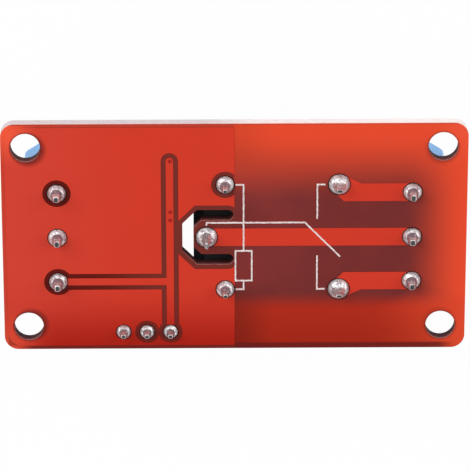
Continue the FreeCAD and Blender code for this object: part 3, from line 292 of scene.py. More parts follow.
def hole_shade(finish, settings):
    """How dim a place is beside a mounting hole: a strong ring at the left ones, a faint one elsewhere."""
    shade = 0.0
    for x, y in settings.holes():
        shift, strength = (0.3, 0.7) if x < 0 else (-0.1, 0.3)
        middle_side = (x + shift, y - math.copysign(0.2, y))
        shade = finish.dot(middle_side, settings.hole_rim / MM - 0.05, 0.35) * strength + shade
    return shade


def bare_half(finish, settings):
    """The right half of the board, with painted light where light comes through it and painted shade where
    the relay and the output terminals stand behind it.
    """
    x, y, _ = finish.axes()
    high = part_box("board")[1] / MM
    shade_near, shade_far = settings.shade_near / MM, settings.shade_far / MM
    near = y.falling(shade_near - 1.3, shade_near + 1.1)
    ends = x.falling(settings.shade_end / MM - 5.0 * near, high.x + 3.0 * near)
    shade = y.falling(shade_far, high.y - 0.7) * ends * (0.93 + 0.12 * finish.grain(3.0, 2.0))
    # Painted light where light comes through the board, painted shade where the relay and terminals stand
    # behind it and along the near edge.
    dark = finish.mix(near, settings.shaded_laminate, settings.near_shaded_laminate)
    colour = finish.mix(shade, settings.laminate_light, dark)
    # Painted shade in rows beside the slot, lightened a little over the left part of the relay.
    rows = 0.24 * y.between(*SLOT_ROW, 1.2) + 0.36 * y.falling(*NEAR_ROW) + 0.14 * y.rising(*FAR_ROW)
    over_relay = x.falling(*RELAY_LENGTH) * y.between(*RELAY_WIDTH, 2.0)
    return finish.tinted(colour, 1.0 + 0.2 * over_relay - x.falling(*BESIDE_SLOT) * rows)


def poured_half(finish, settings):
    """The left half of the board, seen in the gaps of the copper, along the border and round the holes. The
    gaps carry painted shade, the border and the hole rings painted light, and the copper's far edge a painted
    shadow line.
    """
    x, y, _ = finish.axes()
    low, high = [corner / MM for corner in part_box("ground_pour")]
    # The gaps: the bare board's own darker red under the mask, deepened by painted shade, lighter towards the
    # middle and by the near edge.
    gaps = finish.mix(x.rising(*INNER_GAPS), settings.gap_colour, settings.gap_middle)
    gaps = finish.mix(near_edge_shade(finish) * 0.55, gaps, settings.gap_near)
    # A painted shadow line along the copper's far edge; the border and the hole rings get painted light,
    # paler than the gaps.
    line = y.between(high.y, high.y + 0.12, 0.02)
    border = finish.mix(line, settings.border_colour, settings.border_line)
    outside = x.falling(low.x, low.x + 0.05).highest(abs(y).rising(high.y - 0.05, high.y))
    colour = finish.mix(outside, gaps, border)
    for hole in settings.holes():
        ring = finish.dot(hole, settings.hole_rim / MM, 0.1)
        colour = finish.mix(ring, colour, settings.border_colour)
    return colour


def solder_face(finish, settings):
    """Both halves of the solder side, with painted light at the corners, painted shade along the near edge
    and beside the holes, and fine dark lines by the edges and holes.
    """
    x, y, _ = finish.axes()
    low, high = [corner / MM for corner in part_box("board")]
    face = finish.mix(x.rising(*HALVES_MEET), poured_half(finish, settings), bare_half(finish, settings))
    # Painted light at the corners.
    face = finish.mix(corners(finish), face, settings.lit_corner_colour)
    far_line = y.rising(high.y - 0.2, high.y - 0.12) * (0.4 + 0.4 * x.falling(-0.2, 0.2))
    face = finish.mix(far_line, face, settings.border_line)
    # Painted shade darkens the board along its near edge.
    face = finish.tinted(face, 1.0 - 0.25 * near_edge_shade(finish))
    near_line = y.falling(low.y + 0.5, low.y + 0.78) * x.between(*NEAR_LINE_ENDS, 1.2)
    face = finish.mix(near_line * 0.85, face, settings.near_line)
    face = finish.mix(hole_shade(finish, settings), face, settings.near_line)
    for hole in settings.holes():
        lip = finish.dot(hole, settings.hole_rim / MM - 0.13, 0.05)
        face = finish.mix(lip * 0.5, face, settings.near_line)
    return face


def cut_walls(finish, settings, fibres):
    """Pale fibres on the board's outer edges, and browner resin in holes and slot, with painted light at the
    top, painted shade deeper down and a painted highlight on the lip.
    """
    x, y, z = finish.axes()
    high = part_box("board")[1] / MM
    outer = abs(x).rising(high.x - 0.25, high.x - 0.1).highest(abs(y).rising(high.y - 0.25, high.y - 0.1))
    outer = outer.highest((abs(x) + abs(y)).rising(high.x + high.y - 2.4, high.x + high.y - 2.2))
    streaks = finish.grain(1.6, 2.0, finish.stretched((0.5, 0.5, 1.5)))
    resin = fibres.falling(0.3, 0.62) * (0.4 - 0.3 * x.rising(*THINNER_RESIN))
    pale = finish.mix(x.rising(*RIGHT_FIBRES), settings.edge_left, settings.edge_right)
    pale = finish.mix(resin, pale, settings.edge_dark)
    pale = finish.mix(streaks.rising(0.5, 0.8) * 0.3, pale, settings.edge_warm)
    pale = finish.mix(z.rising(*WARM_TOP) * 0.55, pale, settings.edge_warm)
    # Painted light near the top of the hole and slot walls, painted shade deeper down, and a painted
    # highlight along the lip.
    inner = finish.mix(z.rising(*LIT_WALL), settings.wall_shade, settings.wall_pale)
    inner = finish.mix(z.rising(*WALL_LIP), inner, settings.wall_highlight)
    return finish.mix(outer, finish.tinted(inner, 0.7 + 0.6 * fibres), pale)


def laminate(settings):
    """Red glass-fibre board. The light that comes through it is painted into its colour, with painted shade
    over the relay and the terminals.
    """
    finish = Finish("laminate", specular_ior_level=0.2, coat_roughness=0.08)
    x, _, _ = finish.axes()
    upward = finish.upward()
    wall = abs(upward).falling(0.4, 0.8)
    # On the component side the dim mask colour only gives random mottle.
    component_side = finish.mix(finish.grain(5.0, 2.0) * 0.3, settings.under_colour, settings.mask_near)
    face = finish.mix(upward.falling(-0.8, -0.4), solder_face(finish, settings), component_side)
    fibres = finish.grain(0.35, 4.0, finish.stretched((0.35, 0.35, 2.4)))
    finish.show(base_color=finish.mix(wall, face, cut_walls(finish, settings, fibres)),
                roughness=finish.grain(0.8, 2.0) * 0.08 + wall * 0.35 + 0.36,
                coat_weight=(1.0 - wall) * (1.0 - near_edge_shade(finish)) * x.rising(*HALVES_MEET) * 0.25,
                normal=finish.bump(fibres * wall + finish.grain(0.5, 3.0) * 0.06, 0.12))
    return finish.material


def masked_copper(settings):
    """Copper under glossy red mask, a little uneven as the mask flows, with dimples at the vias. Its colour
    holds a painted sheen at the left end, painted light at the corners, and painted shade along the near
    edge, beside the holes and in the dimples.
    """
    finish = Finish("masked_copper", specular_ior_level=0.2, coat_roughness=0.08)
    x, _, _ = finish.axes()
    fine = finish.grain(0.5, 3.0)
    # A painted sheen makes the mask paler towards the left end.
    colour = finish.mix(x.falling(*SHEEN_LENGTH) * 0.75, settings.mask_colour, settings.mask_sheen)
    # Painted shade along the near edge.
    colour = finish.mix(near_edge_shade(finish), colour, settings.mask_near)
    # Painted light at the corners.
    colour = finish.mix(corners(finish), colour, settings.lit_corner_colour)
    colour = finish.mix(hole_shade(finish, settings), colour, settings.near_line)
    column, radius = settings.via_column / MM, settings.via_radius / MM
    dimples = 0.0
    for row in settings.via_rows:
        dimples = finish.dot((column, row / MM), radius, 0.1) + dimples
        # Painted shade, shifted to one side of each dimple.
        shade = finish.dot((column + 0.06, row / MM - 0.05), radius, 0.08)
        colour = finish.mix(shade * 0.9, colour, settings.via_shade_colour)
    finish.show(base_color=finish.tinted(colour, 0.975 + 0.05 * finish.grain(6.0, 2.0)),
                roughness=0.34 + fine * 0.1,
                coat_weight=(1.0 - near_edge_shade(finish)) * 0.25,
                normal=finish.bump(fine * 0.3 + finish.grain(2.5, 2.0) - dimples * 3.0, 0.02))
    return finish.material


def printed_ink(settings):
    """White screen-printed ink with a slightly rough edge and a pink cast from the board."""
    finish = Finish("printed_ink", roughness=0.6, coat_weight=0.1)
    speckle = finish.grain(0.25, 3.0)
    finish.show(base_color=finish.mix(speckle.rising(0.35, 0.6), settings.thin_ink, settings.ink_colour),
                normal=finish.bump(speckle, 0.02))
    return finish.material


def slanting_scratches(finish):
    """Fine noise drawn out along one diagonal of the board."""
    x, y, z = finish.axes()
    slanted = finish.add("ShaderNodeCombineXYZ", None, {0: (x + y) * 0.8, 1: (x - y) * 0.16, 2: z * 0.5})
    return finish.grain(0.14, 3.0, slanted)


def bright_solder(settings):
    """Tin with flux stains, pits and slanting scratches."""
    finish = Finish("bright_solder", metallic=0.85)
    stain = finish.grain(0.8, 2.0)
    pits = finish.grain(0.2, 4.0)
    scratches = slanting_scratches(finish)
    colour = finish.mix(stain.rising(0.45, 0.62) * 0.75, settings.solder_colour, settings.solder_stain)
    colour = finish.mix(scratches.rising(0.53, 0.62) * 0.6, colour, settings.solder_pit)
    finish.show(base_color=finish.mix(pits.rising(0.6, 0.7) * 0.6, colour, settings.solder_pit),
                roughness=0.28 + stain * 0.2,
                normal=finish.bump(pits * 0.4 + scratches * 0.6 + finish.grain(0.6, 2.0) * 0.6, 0.08))
    return finish.material


def coated_lead(settings):
    """The dull grey skin where a little solder climbs a lead, with brighter streaks."""
    finish = Finish("coated_lead", metallic=0.3)
    pits = finish.grain(0.16, 4.0)
    scratches = slanting_scratches(finish)
    colour = finish.mix(scratches.rising(0.56, 0.68) * 0.7, settings.solder_lead, settings.solder_colour)
    finish.show(base_color=finish.mix(pits.rising(0.56, 0.66) * 0.7, colour, settings.solder_pit),
                roughness=0.3 + pits * 0.3,
                normal=finish.bump(pits * 0.6 + scratches * 0.4, 0.08))
    return finish.material


def rim_resin(settings):
    """The dark line where the mask stops short of a pad."""
    finish = Finish("rim_resin", roughness=0.9, specular_ior_level=0.05)
    finish.show(base_color=finish.mix(finish.grain(0.5), settings.rim_dark, settings.rim_light))
    return finish.material


def clipped_end(settings):
    """The sheared end of a lead, dull and dark in its middle."""
    finish = Finish("clipped_end", metallic=0.6, roughness=0.55)
    shear = finish.grain(0.08, 3.0, finish.stretched((1.0, 0.3, 1.0)))
    finish.show(base_color=finish.mix(shear, settings.end_dark, settings.end_light),
                normal=finish.bump(shear, 0.03))
    return finish.material


def moulded(name, colour, gloss=0.3, coat=0.2, through=0.0):
    """Moulded plastic with a fine spark-eroded skin and slight flow shading."""
    finish = Finish(name, coat_weight=coat, coat_roughness=0.15)
    skin = finish.grain(0.35, 4.0)
    if through:
        finish.show(subsurface_weight=through, subsurface_scale=0.002)
    finish.show(base_color=finish.tinted(colour, 0.94 + 0.12 * finish.grain(6.0, 2.0)),
                roughness=gloss + skin * 0.12,
                normal=finish.bump(skin, 0.008))
    return finish.material


def relay_plastic(settings):
    """The relay's blue case, whose flat rim by the board is near black: partly dark potting resin, partly
    painted shade under the board.
    """
    finish = Finish("case_plastic", specular_ior_level=0.2, coat_roughness=0.12)
    _, _, z = finish.axes()
    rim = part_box("relay_case")[1].z / MM
    # Near-black rim by the board: partly potting resin, partly painted shade under the board.
    potted_and_shaded = z.rising(rim - 0.12, rim - 0.04) * finish.upward().rising(0.5, 0.9)
    skin = finish.grain(0.4, 3.0)
    colour = finish.tinted(settings.case_colour, 0.92 + 0.16 * finish.grain(7.0, 2.0))
    finish.show(base_color=finish.mix(potted_and_shaded, colour, settings.potting_and_shade_colour),
                coat_weight=(1.0 - potted_and_shaded) * 0.35,
                roughness=0.2 + skin * 0.1 + potted_and_shaded * 0.4,
                normal=finish.bump(skin, 0.006))
    return finish.material


def metal(name, colour, stain, roughness=0.25):
    """Plated or rolled metal, finely pitted and with a duller tarnish."""
    finish = Finish(name, metallic=1.0)
    tarnish = finish.grain(2.4, 3.0)
    finish.show(base_color=finish.mix(tarnish.rising(0.4, 0.75) * 0.7, colour, stain),
                roughness=roughness + tarnish * 0.14,
                normal=finish.bump(finish.grain(0.3, 4.0), 0.01))
    return finish.material


def wound_wire(settings):
    """Enamelled wire laid turn on turn up the bobbin, with painted shade in the grooves between the turns."""
    finish = Finish("wound_wire", metallic=0.7, roughness=0.3, coat_weight=0.5)
    _, _, z = finish.axes()
    half_pitch = settings.wire_pitch / MM / 2
    ridge = z.zigzag(half_pitch) / half_pitch
    finish.show(base_color=finish.mix(ridge, settings.wire_groove_shade, settings.wire_colour),
                normal=finish.bump(ridge, half_pitch * 2 / 3))
    return finish.material


# Meshes


def dress(material, *names):
    """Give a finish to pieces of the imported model."""
    for name in names:
        node = frame["nodes"][name]
        if not node.material_slots:
            node.data.materials.append(material)
        for slot in node.material_slots:
            slot.material = material


def new_piece(name, mesh, materials, body, smooth=True):
    """Finish a mesh as a piece that rides on a body."""
    data = bpy.data.meshes.new(name)
    bmesh.ops.recalc_face_normals(mesh, faces=mesh.faces[:])
    for face in mesh.faces:
        face.smooth = smooth
    mesh.to_mesh(data)
    mesh.free()
    for material in materials:
        data.materials.append(material)
    piece = bpy.data.objects.new(name, data)
    bpy.context.scene.collection.objects.link(piece)
    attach(piece, body)
    return piece


def mesh_of(node):
    """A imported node's mesh, with its corners joined."""
    mesh = bmesh.new()
    mesh.from_mesh(frame["nodes"][node].data)
    bmesh.ops.remove_doubles(mesh, verts=mesh.verts[:], dist=0.001 * MM)
    return mesh


def islands(node):
    """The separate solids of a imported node, each as the list of its corner points."""
    mesh = mesh_of(node)
    waiting = set(mesh.verts)
    found = []
    for first in mesh.verts:
        if first not in waiting:
            continue
        waiting.remove(first)
        todo = [first]
        solid = []
        while todo:
            corner = todo.pop()
            solid.append(corner.co.copy())
            for edge in corner.link_edges:
                other = edge.other_vert(corner)
                if other in waiting:
                    waiting.remove(other)
                    todo.append(other)
        found.append(solid)
    mesh.free()
    return sorted(found, key=lambda solid: (round(middle(solid).x, 4), -middle(solid).y))


def span(points, axis):
    """The lowest and highest place of some points along one axis."""
    values = [point[axis] for point in points]
    return min(values), max(values)


def middle(points):
    """The centre of the box round some points."""
    return Vector([sum(span(points, axis)) / 2 for axis in (0, 1, 2)])


def ring_faces(mesh, lower, upper, material):
    """Join two rings of corners by a row of faces."""
    count = len(lower)
    for index in range(count):
        after = (index + 1) % count
        face = mesh.faces.new((lower[index], lower[after], upper[after], upper[index]))
        face.material_index = material


class Lead:
    """The end of one lead that stands out of the solder side, wide up to its shoulder and clipped above."""

    def __init__(self, points):
        self.top = span(points, 2)[1]
        end = [point for point in points if point.z > self.top - END_DEPTH]
        wide = [point for point in points if FOOT_GAP < point.z < self.top - TOP_GAP]
        self.centre = middle(end)
        self.shoulder = span(wide or end, 2)[1]
        self.wide = self.reach(wide or end)
        self.narrow = self.reach(end)

    def reach(self, points):
        """Half the width of some points along the two sides of the board."""
        return [(span(points, axis)[1] - span(points, axis)[0]) / 2 for axis in (0, 1)]


def leads_of(nodes):
    """The leads in some nodes that stand out of the solder side."""
    return [Lead(solid) for node in nodes for solid in islands(node) if span(solid, 2)[1] > LEAST_LEAD]


class JointShape:
    """One solder joint, built of rings from its pad up to the tip of its lead."""

    # The clipped end's rings: their share of the height and of the width, and the finish under them
    TIP_RINGS = ((0.7, 0.9, BRIGHT), (1.0, 0.7, BRIGHT), (0.95, 0.44, CLIPPED))
    # How much wider than its lead the solder's neck is, how far its flank sags up to the lead's shoulder, and
    # the share of that flank that stays bright on every joint
    NECK_SWELL, SAG, BRIGHT_FLANK = 1.15, 0.45, 0.15
    # The heights of the rings above the shoulder, as shares of what is left of the lead
    CLIMBS = (0.2, 0.4, 0.6, 0.8)
    # Lumps and the finer ones on them: their scale round a joint, their scale up it and their shift per joint
    LUMPS, FINE_LUMPS = (1.6, 900, Vector((7.3, 0, 0))), (4.5, 1500, Vector((0, 3.1, 0)))
    # How much of the unevenness goes sideways and how much up, and how far the rim lies under the solder
    SIDEWAYS, UPWARD, RIM_LAP = 0.5, 0.7, 0.04 * MM

    def __init__(self, mesh, joint, lead, settings, seed):
        self.mesh = mesh
        self.lead = lead
        self.settings = settings
        self.seed = seed
        self.centre = middle(joint)
        self.centre.z = 0
        self.radius = (span(joint, 0)[1] - span(joint, 0)[0]) / 2
        self.base = settings.copper_height
        self.rows = []
        self.skins = []
        self.climb_skin = BRIGHT if self.radius > settings.wide_joint else COATED

    def neck(self, way, climb):
        """How far the solder reaches in one direction. climb is 0 at the lead's shoulder and 1 at its end."""
        total = 0.0
        for size, wide, narrow in zip(way, self.lead.wide, self.lead.narrow):
            half = (wide * (1 - climb) + narrow * climb) * self.NECK_SWELL + self.settings.solder_coat
            total += abs(size / half) ** 4
        return total ** -0.25

    def uneven(self, way, height, kind):
        """Noise from -1 to 1 in one direction and at one height, unlike that of any other joint."""
        around, up, shift = kind
        return noise.noise(Vector((way.x, way.y, height * up)) * around + shift * self.seed)

    def ring(self, height, share, ease=0.0, climb=0.0, skin=BRIGHT):
        """A ring whose reach is a share of the pad, eased towards the lead, with lumps where it swells."""
        corners = []
        count = self.settings.joint_segments
        for step in range(count):
            angle = 2 * math.pi * step / count
            way = Vector((math.cos(angle), math.sin(angle), 0))
            lead = self.centre + (self.lead.centre - self.centre) * ease
            reach = self.radius * share * (1 - ease) + self.neck(way, climb) * ease
            lumps = self.uneven(way, height, self.LUMPS) + self.uneven(way, height, self.FINE_LUMPS) * 0.3
            wobble = lumps * self.settings.joint_lump * min(1, 3 * (1 - share)) * (1 - ease)
            point = lead + way * (reach + wobble * self.SIDEWAYS)
            point.z = min(height + wobble * self.UPWARD, cad_box[1].z)
            corners.append(self.mesh.verts.new(point))
        self.rows.append(corners)
        self.skins.append(skin)

    def mound(self):
        """The swollen part: a cap of a ball that leans ever more into the solder up the lead."""
        settings = self.settings
        steep = settings.joint_slope
        ball = self.radius / math.sin(steep)
        waist = math.asin(settings.joint_waist * math.sin(steep))
        for row in range(settings.joint_rings + 1):
            slope = steep + (waist - steep) * row / settings.joint_rings
            height = self.base + ball * (math.cos(slope) - math.cos(steep))
            self.ring(height, math.sin(slope) / math.sin(steep))
        shoulder = max(self.lead.shoulder, height + 0.1 * MM)
        for row in range(1, settings.joint_rings + 1):
            rise = row / settings.joint_rings
            ease = 1 - (1 - rise) ** 2
            level = rise + self.SAG * rise * (rise - 1)
            skin = BRIGHT if rise < self.BRIGHT_FLANK else self.climb_skin
            self.ring(height + (shoulder - height) * level, settings.joint_waist, ease, 0.0, skin)
        for climb in self.CLIMBS:
            height = shoulder + (self.lead.top - shoulder) * climb
            self.ring(height, settings.joint_waist, 1.0, climb, self.climb_skin if climb < 0.5 else BRIGHT)

    def tip(self):
        """The clipped end of the lead under its thin coat."""
        top = min(self.lead.top + self.settings.tip_cap, cad_box[1].z)
        below = self.rows[-1]
        centre = self.lead.centre
        for share, shrink, material in self.TIP_RINGS:
            corners = []
            for corner in below:
                offset = corner.co - centre
                point = centre + Vector((offset.x, offset.y, 0)) * shrink
                rough = noise.noise(point * 1900 + Vector((self.seed, 0, share * 3)))
                level = corner.co.z + (top - corner.co.z) * share + rough * self.settings.tip_rough
                point.z = min(level, top)
                corners.append(self.mesh.verts.new(point))
            ring_faces(self.mesh, self.rows[-1], corners, material)
            self.rows.append(corners)
        end = self.mesh.faces.new(self.rows[-1])
        end.material_index = CLIPPED

    def rim(self):
        """The dark line where the mask stops."""
        settings = self.settings
        count = settings.joint_segments
        inner, outer = self.radius - self.RIM_LAP, self.radius + settings.rim_width
        circles = []
        for reach, height in ((inner, self.base), (outer, self.base + settings.rim_rise), (outer, self.base)):
            circle = []
            for step in range(count):
                angle = 2 * math.pi * step / count
                place = Vector((math.cos(angle) * reach, math.sin(angle) * reach, height))
                circle.append(self.mesh.verts.new(self.centre + place))
            circles.append(circle)
        for lower, upper in zip(circles, circles[1:]):
            ring_faces(self.mesh, lower, upper, RIM)

    def build(self):
        """Make all the faces of the joint."""
        self.mound()
        for lower, upper, skin in zip(self.rows, self.rows[1:], self.skins[1:]):
            ring_faces(self.mesh, lower, upper, skin)
        self.tip()
        self.rim()


def ragged_print(node, settings):
    """A printed line pattern, cut fine and with its edges made uneven."""
    mesh = mesh_of(node)
    low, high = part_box(node)
    for axis in (0, 1):
        cuts = int((high[axis] - low[axis]) / settings.print_cut)
        normal = Vector((1, 0, 0)) if axis == 0 else Vector((0, 1, 0))
        for cut in range(1, cuts):
            place = low.copy()
            place[axis] += (high[axis] - low[axis]) * cut / cuts
            bmesh.ops.bisect_plane(mesh, geom=mesh.verts[:] + mesh.edges[:] + mesh.faces[:], dist=1e-9,
                                   plane_co=place, plane_no=normal)
    for corner in mesh.verts:
        place = Vector((corner.co.x, corner.co.y, 0)) / MM
        shift_x = noise.noise(place * PRINT_NOISE)
        shift_y = noise.noise(place * PRINT_NOISE + PRINT_SHIFT)
        corner.co.x += shift_x * settings.print_wander
        corner.co.y += shift_y * settings.print_wander
    return mesh


# What a user would change


def colour_value(name, description, default):
    """A colour that a user can change."""
    return FloatVectorProperty(name=name, description=description, default=default, subtype="COLOR", size=3,
                               min=0.0, max=1.0)


def share_value(name, description, default):
    """A share between 0 and 1."""
    return FloatProperty(name=name, description=description, default=default, subtype="FACTOR", min=0.0,
                         max=1.0)


def point_value(name, description, default):
    """A point of the scene, in metres."""
    return FloatVectorProperty(name=name, description=description, default=default, subtype="TRANSLATION",
                               unit="LENGTH", size=3)


def place_value(name, description, millimetres, **limits):
    """A place on one axis, which may be negative."""
    return FloatProperty(name=name, description=description, default=millimetres * MM, unit="LENGTH",
                         precision=5, **limits)


def length_value(name, description, millimetres, least=0.0):
    """A length that is never less than the least one, both given in millimetres."""
    return place_value(name, description, millimetres, min=least * MM)


class BoardSettings(PropertyGroup):
    """Sizes and colours of the board"""

    mask_colour: colour_value("Mask", "Mask over copper", (0.668, 0.0358, 0.0137))
    # Painted sheen that makes the mask paler at the left end.
    mask_sheen: colour_value("Paler mask", "Mask at the left end", (0.67, 0.052, 0.028))
    # mask_near is painted shade along the near edge; on the component side it only gives random mottle.
    mask_near: colour_value("Dim mask", "Mask at the near edge", (0.40, 0.008, 0.001))
    # Painted shade in the via dimples.
    via_shade_colour: colour_value("Vias", "Dimples over the vias", (0.34, 0.002, 0.001))
    # Painted light that makes the corners paler.
    lit_corner_colour: colour_value("Corners", "Paler red at the corners", (0.92, 0.100, 0.042))
    # Painted light and shade of the bare board: lit where light comes through it, shaded over the relay and
    # along the near edge.
    laminate_light: colour_value("Lit laminate", "Bare board with light behind it", (0.82, 0.064, 0.018))
    shaded_laminate: colour_value("Dark laminate", "Bare board over the relay", (0.175, 0.020, 0.018))
    near_shaded_laminate: colour_value("Dim laminate", "Bare board at the near edge", (0.48, 0.019, 0.003))
    # Gaps: the bare board's own darker red under the mask, deepened by painted shade; gap_middle and gap_near
    # are lighter steps of that painted shade.
    gap_colour: colour_value("Gaps", "Bare board in the gaps of the copper", (0.125, 0.004, 0.001))
    gap_middle: colour_value("Inner gaps", "Gaps towards the middle of the board", (0.185, 0.024, 0.017))
    gap_near: colour_value("Near gaps", "Gaps by the near edge", (0.28, 0.012, 0.005))
    under_colour: colour_value("Component side", "Bare board on the component side", (0.50, 0.026, 0.010))
    # Painted light on the bare board along the border and round the holes.
    border_colour: colour_value("Border", "Bare strip round the copper", (0.60, 0.049, 0.026))
    # Painted shadow along the copper's far edge; the same colour darkens a fine line along the board's far
    # edge.
    border_line: colour_value("Border line", "Fine dark lines of the border", (0.42, 0.040, 0.020))
    # Also the colour of the painted shade beside the mounting holes.
    near_line: colour_value("Dark line", "Line by the near edge and round the holes", (0.125, 0.007, 0.006))
    edge_left: colour_value("Pale fibres", "Fibres on the left of the cut edge", (0.72, 0.64, 0.66))
    edge_right: colour_value("Right fibres", "Fibres on the right of the cut edge", (1.0, 0.90, 0.88))
    edge_warm: colour_value("Warm fibres", "Fibres with red resin", (0.96, 0.52, 0.45))
    edge_dark: colour_value("Edge resin", "Resin between the fibres of the cut edge", (0.62, 0.52, 0.55))
    # Painted highlight, painted light and painted shade of the hole and slot walls.
    wall_highlight: colour_value("Wall lip", "Bright lip of the hole and slot walls", (0.62, 0.30, 0.27))
    wall_pale: colour_value("Lit wall", "Upper part of the hole and slot walls", (0.22, 0.055, 0.05))
    wall_shade: colour_value("Dark wall", "Deeper part of the hole and slot walls", (0.065, 0.013, 0.014))
    ink_colour: colour_value("Ink", "Printed symbol", (0.86, 0.78, 0.77))
    # Thinner ink, mixed in by random speckle.
    thin_ink: colour_value("Thin ink", "Ink where it is thin", (0.74, 0.52, 0.50))
    solder_colour: colour_value("Solder", "Clean solder", (0.86, 0.85, 0.86))
    solder_stain: colour_value("Flux stain", "Solder under flux", (0.60, 0.53, 0.56))
    solder_lead: colour_value("Coated lead", "Solder that climbs a lead", (0.27, 0.20, 0.235))
    solder_pit: colour_value("Pits", "Pits in the solder", (0.13, 0.105, 0.115))
    end_dark: colour_value("Lead end", "Sheared end of a lead", (0.008, 0.008, 0.010))
    end_light: colour_value("Sheared edge", "Brighter part of a lead's end", (0.16, 0.15, 0.15))
    rim_dark: colour_value("Rim", "Dark line round a pad", (0.010, 0.002, 0.003))
    rim_light: colour_value("Lighter rim", "Lighter stretches of that line", (0.03, 0.006, 0.006))
    shade_end: place_value("Shade end", "Where the shade starts to fade at the right", 18.0)
    shade_far: place_value("Shade far side", "Where the shade starts to fade at the far side", 3.8)
    shade_near: place_value("Shade near side", "Where the shade ends at the near side", -7.3)
    hole_rim: length_value("Hole rim", "Radius of the bare ring round a mounting hole", 1.85)
    via_column: place_value("Via column", "Place of the vias along the board", -6.93)
    via_rows: FloatVectorProperty(
        name="Via rows", description="Places of the vias across the board", unit="LENGTH", size=3,
        precision=5, default=(2.92 * MM, 2.01 * MM, 8.7 * MM))
    via_radius: length_value("Via radius", "Radius of a via's dimple", 0.22)
    print_cut: length_value("Print cut", "Length of one step of the print's uneven edge", 0.16, least=0.02)
    print_wander: length_value("Print wander", "How far the print's edge wanders", 0.035)
    copper_height: length_value(
        "Copper height", "Height of the copper over the board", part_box("ground_pour")[1].z / MM)
    joint_segments: IntProperty(
        name="Joint segments", description="Corners round one solder joint", default=56, min=12)
    joint_rings: IntProperty(
        name="Joint rings", description="Rings up the mound of a solder joint", default=14, min=4)
    joint_slope: FloatProperty(
        name="Joint slope", description="How steep a joint rises at its rim", subtype="ANGLE",
        default=math.radians(68.0), min=math.radians(20.0), max=math.radians(89.0))
    joint_waist: share_value("Joint waist", "Width of the mound's top as a share of the pad", 0.62)
    wide_joint: length_value("Wide joint", "Radius from which a joint is bright up its lead", 1.1)
    joint_lump: length_value("Joint lumps", "Unevenness of a joint", 0.13)
    solder_coat: length_value("Solder coat", "Solder on a lead above its joint", 0.05)
    tip_rough: length_value("Tip roughness", "Unevenness of a clipped lead", 0.03)
    tip_cap: length_value("Tip cap", "Thickness of what coats a lead's end", 0.03)
    rim_width: length_value("Rim width", "Width of the dark line round a pad", 0.08)
    rim_rise: length_value("Rim rise", "Height of the mask's edge", 0.012)

    def holes(self):
        """The centres of the four mounting holes, from the record's bolt pattern."""
        pattern = next(m for m in frame["record"]["mounts"] if m["name"] == "mounting_holes")["dims"]
        half_x, half_y = pattern["spacing_x_mm"] / 2, pattern["spacing_y_mm"] / 2
        return [(x, y) for x in (-half_x, half_x) for y in (-half_y, half_y)]


class PartSettings(PropertyGroup):
    """Colours of the parts on the component side"""

    housing_colour: colour_value("Terminals", "Terminal housings", (0.15, 0.43, 0.84))
    case_colour: colour_value("Relay case", "Relay case", (0.010, 0.066, 0.38))
    # Partly potting resin, partly painted shade under the board.
    potting_and_shade_colour: colour_value("Potting", "Resin film on the relay's rim", (0.001, 0.003, 0.004))
    black_colour: colour_value("Black plastic", "Relay base and header", (0.006, 0.006, 0.007))
    bobbin_colour: colour_value("Bobbin", "Coil bobbin", (0.72, 0.70, 0.62))
    jumper_colour: colour_value("Jumper", "Jumper cap", (0.80, 0.55, 0.02))
    chip_colour: colour_value("Chips", "Bodies of the small parts", (0.018, 0.018, 0.020))
    opto_colour: colour_value("Optocoupler", "Optocoupler body", (0.70, 0.69, 0.66))
    lamp_colour: colour_value("Lamps", "Resin of the indicator lamps", (0.80, 0.80, 0.70))
    steel_colour: colour_value("Steel", "Plated steel", (0.72, 0.72, 0.70))
    steel_stain: colour_value("Steel stain", "Duller plating", (0.48, 0.47, 0.44))
    brass_colour: colour_value("Brass", "Brass and bronze", (0.78, 0.52, 0.22))
    brass_stain: colour_value("Brass stain", "Tarnished brass", (0.50, 0.30, 0.12))
    wire_colour: colour_value("Wire", "Coil wire", (0.72, 0.25, 0.08))
    # Painted shade in the grooves between turns.
    wire_groove_shade: colour_value("Between turns", "Coil wire between the turns", (0.20, 0.05, 0.02))
    wire_pitch: length_value("Wire pitch", "Distance between turns", 0.12, least=0.02)


class StageSettings(PropertyGroup):
    """The floor, the lamps, the sky and the camera"""

    camera_place: point_value("Camera", "Where the camera hangs", (-0.0030904, 0.144541, 0.3738875))
    camera_turn: FloatVectorProperty(
        name="Camera turn", description="Turns about X, Y and Z", subtype="EULER", unit="ROTATION", size=3,
        default=(math.radians(-21.103), math.radians(-0.449), math.radians(-0.2526)))
    camera_lens: FloatProperty(
        name="Lens", description="Focal length of the camera", unit="CAMERA", default=286.2, min=1.0)
    high_sky: share_value("High sky", "Light from overhead", 0.36)
    low_sky: share_value("Low sky", "Light from near the horizon", 0.80)
    sky_band: FloatVectorProperty(
        name="Sky band", description="Heights from which and to which the low sky turns into the high sky",
        size=2, default=(0.3, 0.85), min=-1.0, max=1.0)
    key_light: share_value("Key", "Share of the light from the main lamp", 0.36)
    key_place: point_value("Key place", "Where the main lamp hangs", (-0.45, 0.38, 0.58))
    key_width: length_value("Key width", "Width of the main lamp", 600.0, least=1.0)
    fill_light: share_value("Fill", "Share of the light from the second lamp", 0.16)
    fill_place: point_value("Fill place", "Where the second lamp hangs", (0.55, 0.24, 0.45))
    fill_width: length_value("Fill width", "Width of the second lamp", 500.0, least=1.0)
    floor_reach: length_value("Floor reach", "Half the width of the floor", 3000.0)
    floor_glow: share_value("Floor glow", "How white the floor looks by itself", 0.97)
    floor_colour: colour_value("Floor", "Paint of the floor", (0.92, 0.92, 0.92))


# Pieces


class RELAYBOARD_OT_board(Operator):
    """Finish the laminate"""

    bl_idname = "relay_board.board"
    bl_label = "Board"

    def execute(self, context):
        dress(laminate(context.scene.relay_board), "board")
        return {"FINISHED"}


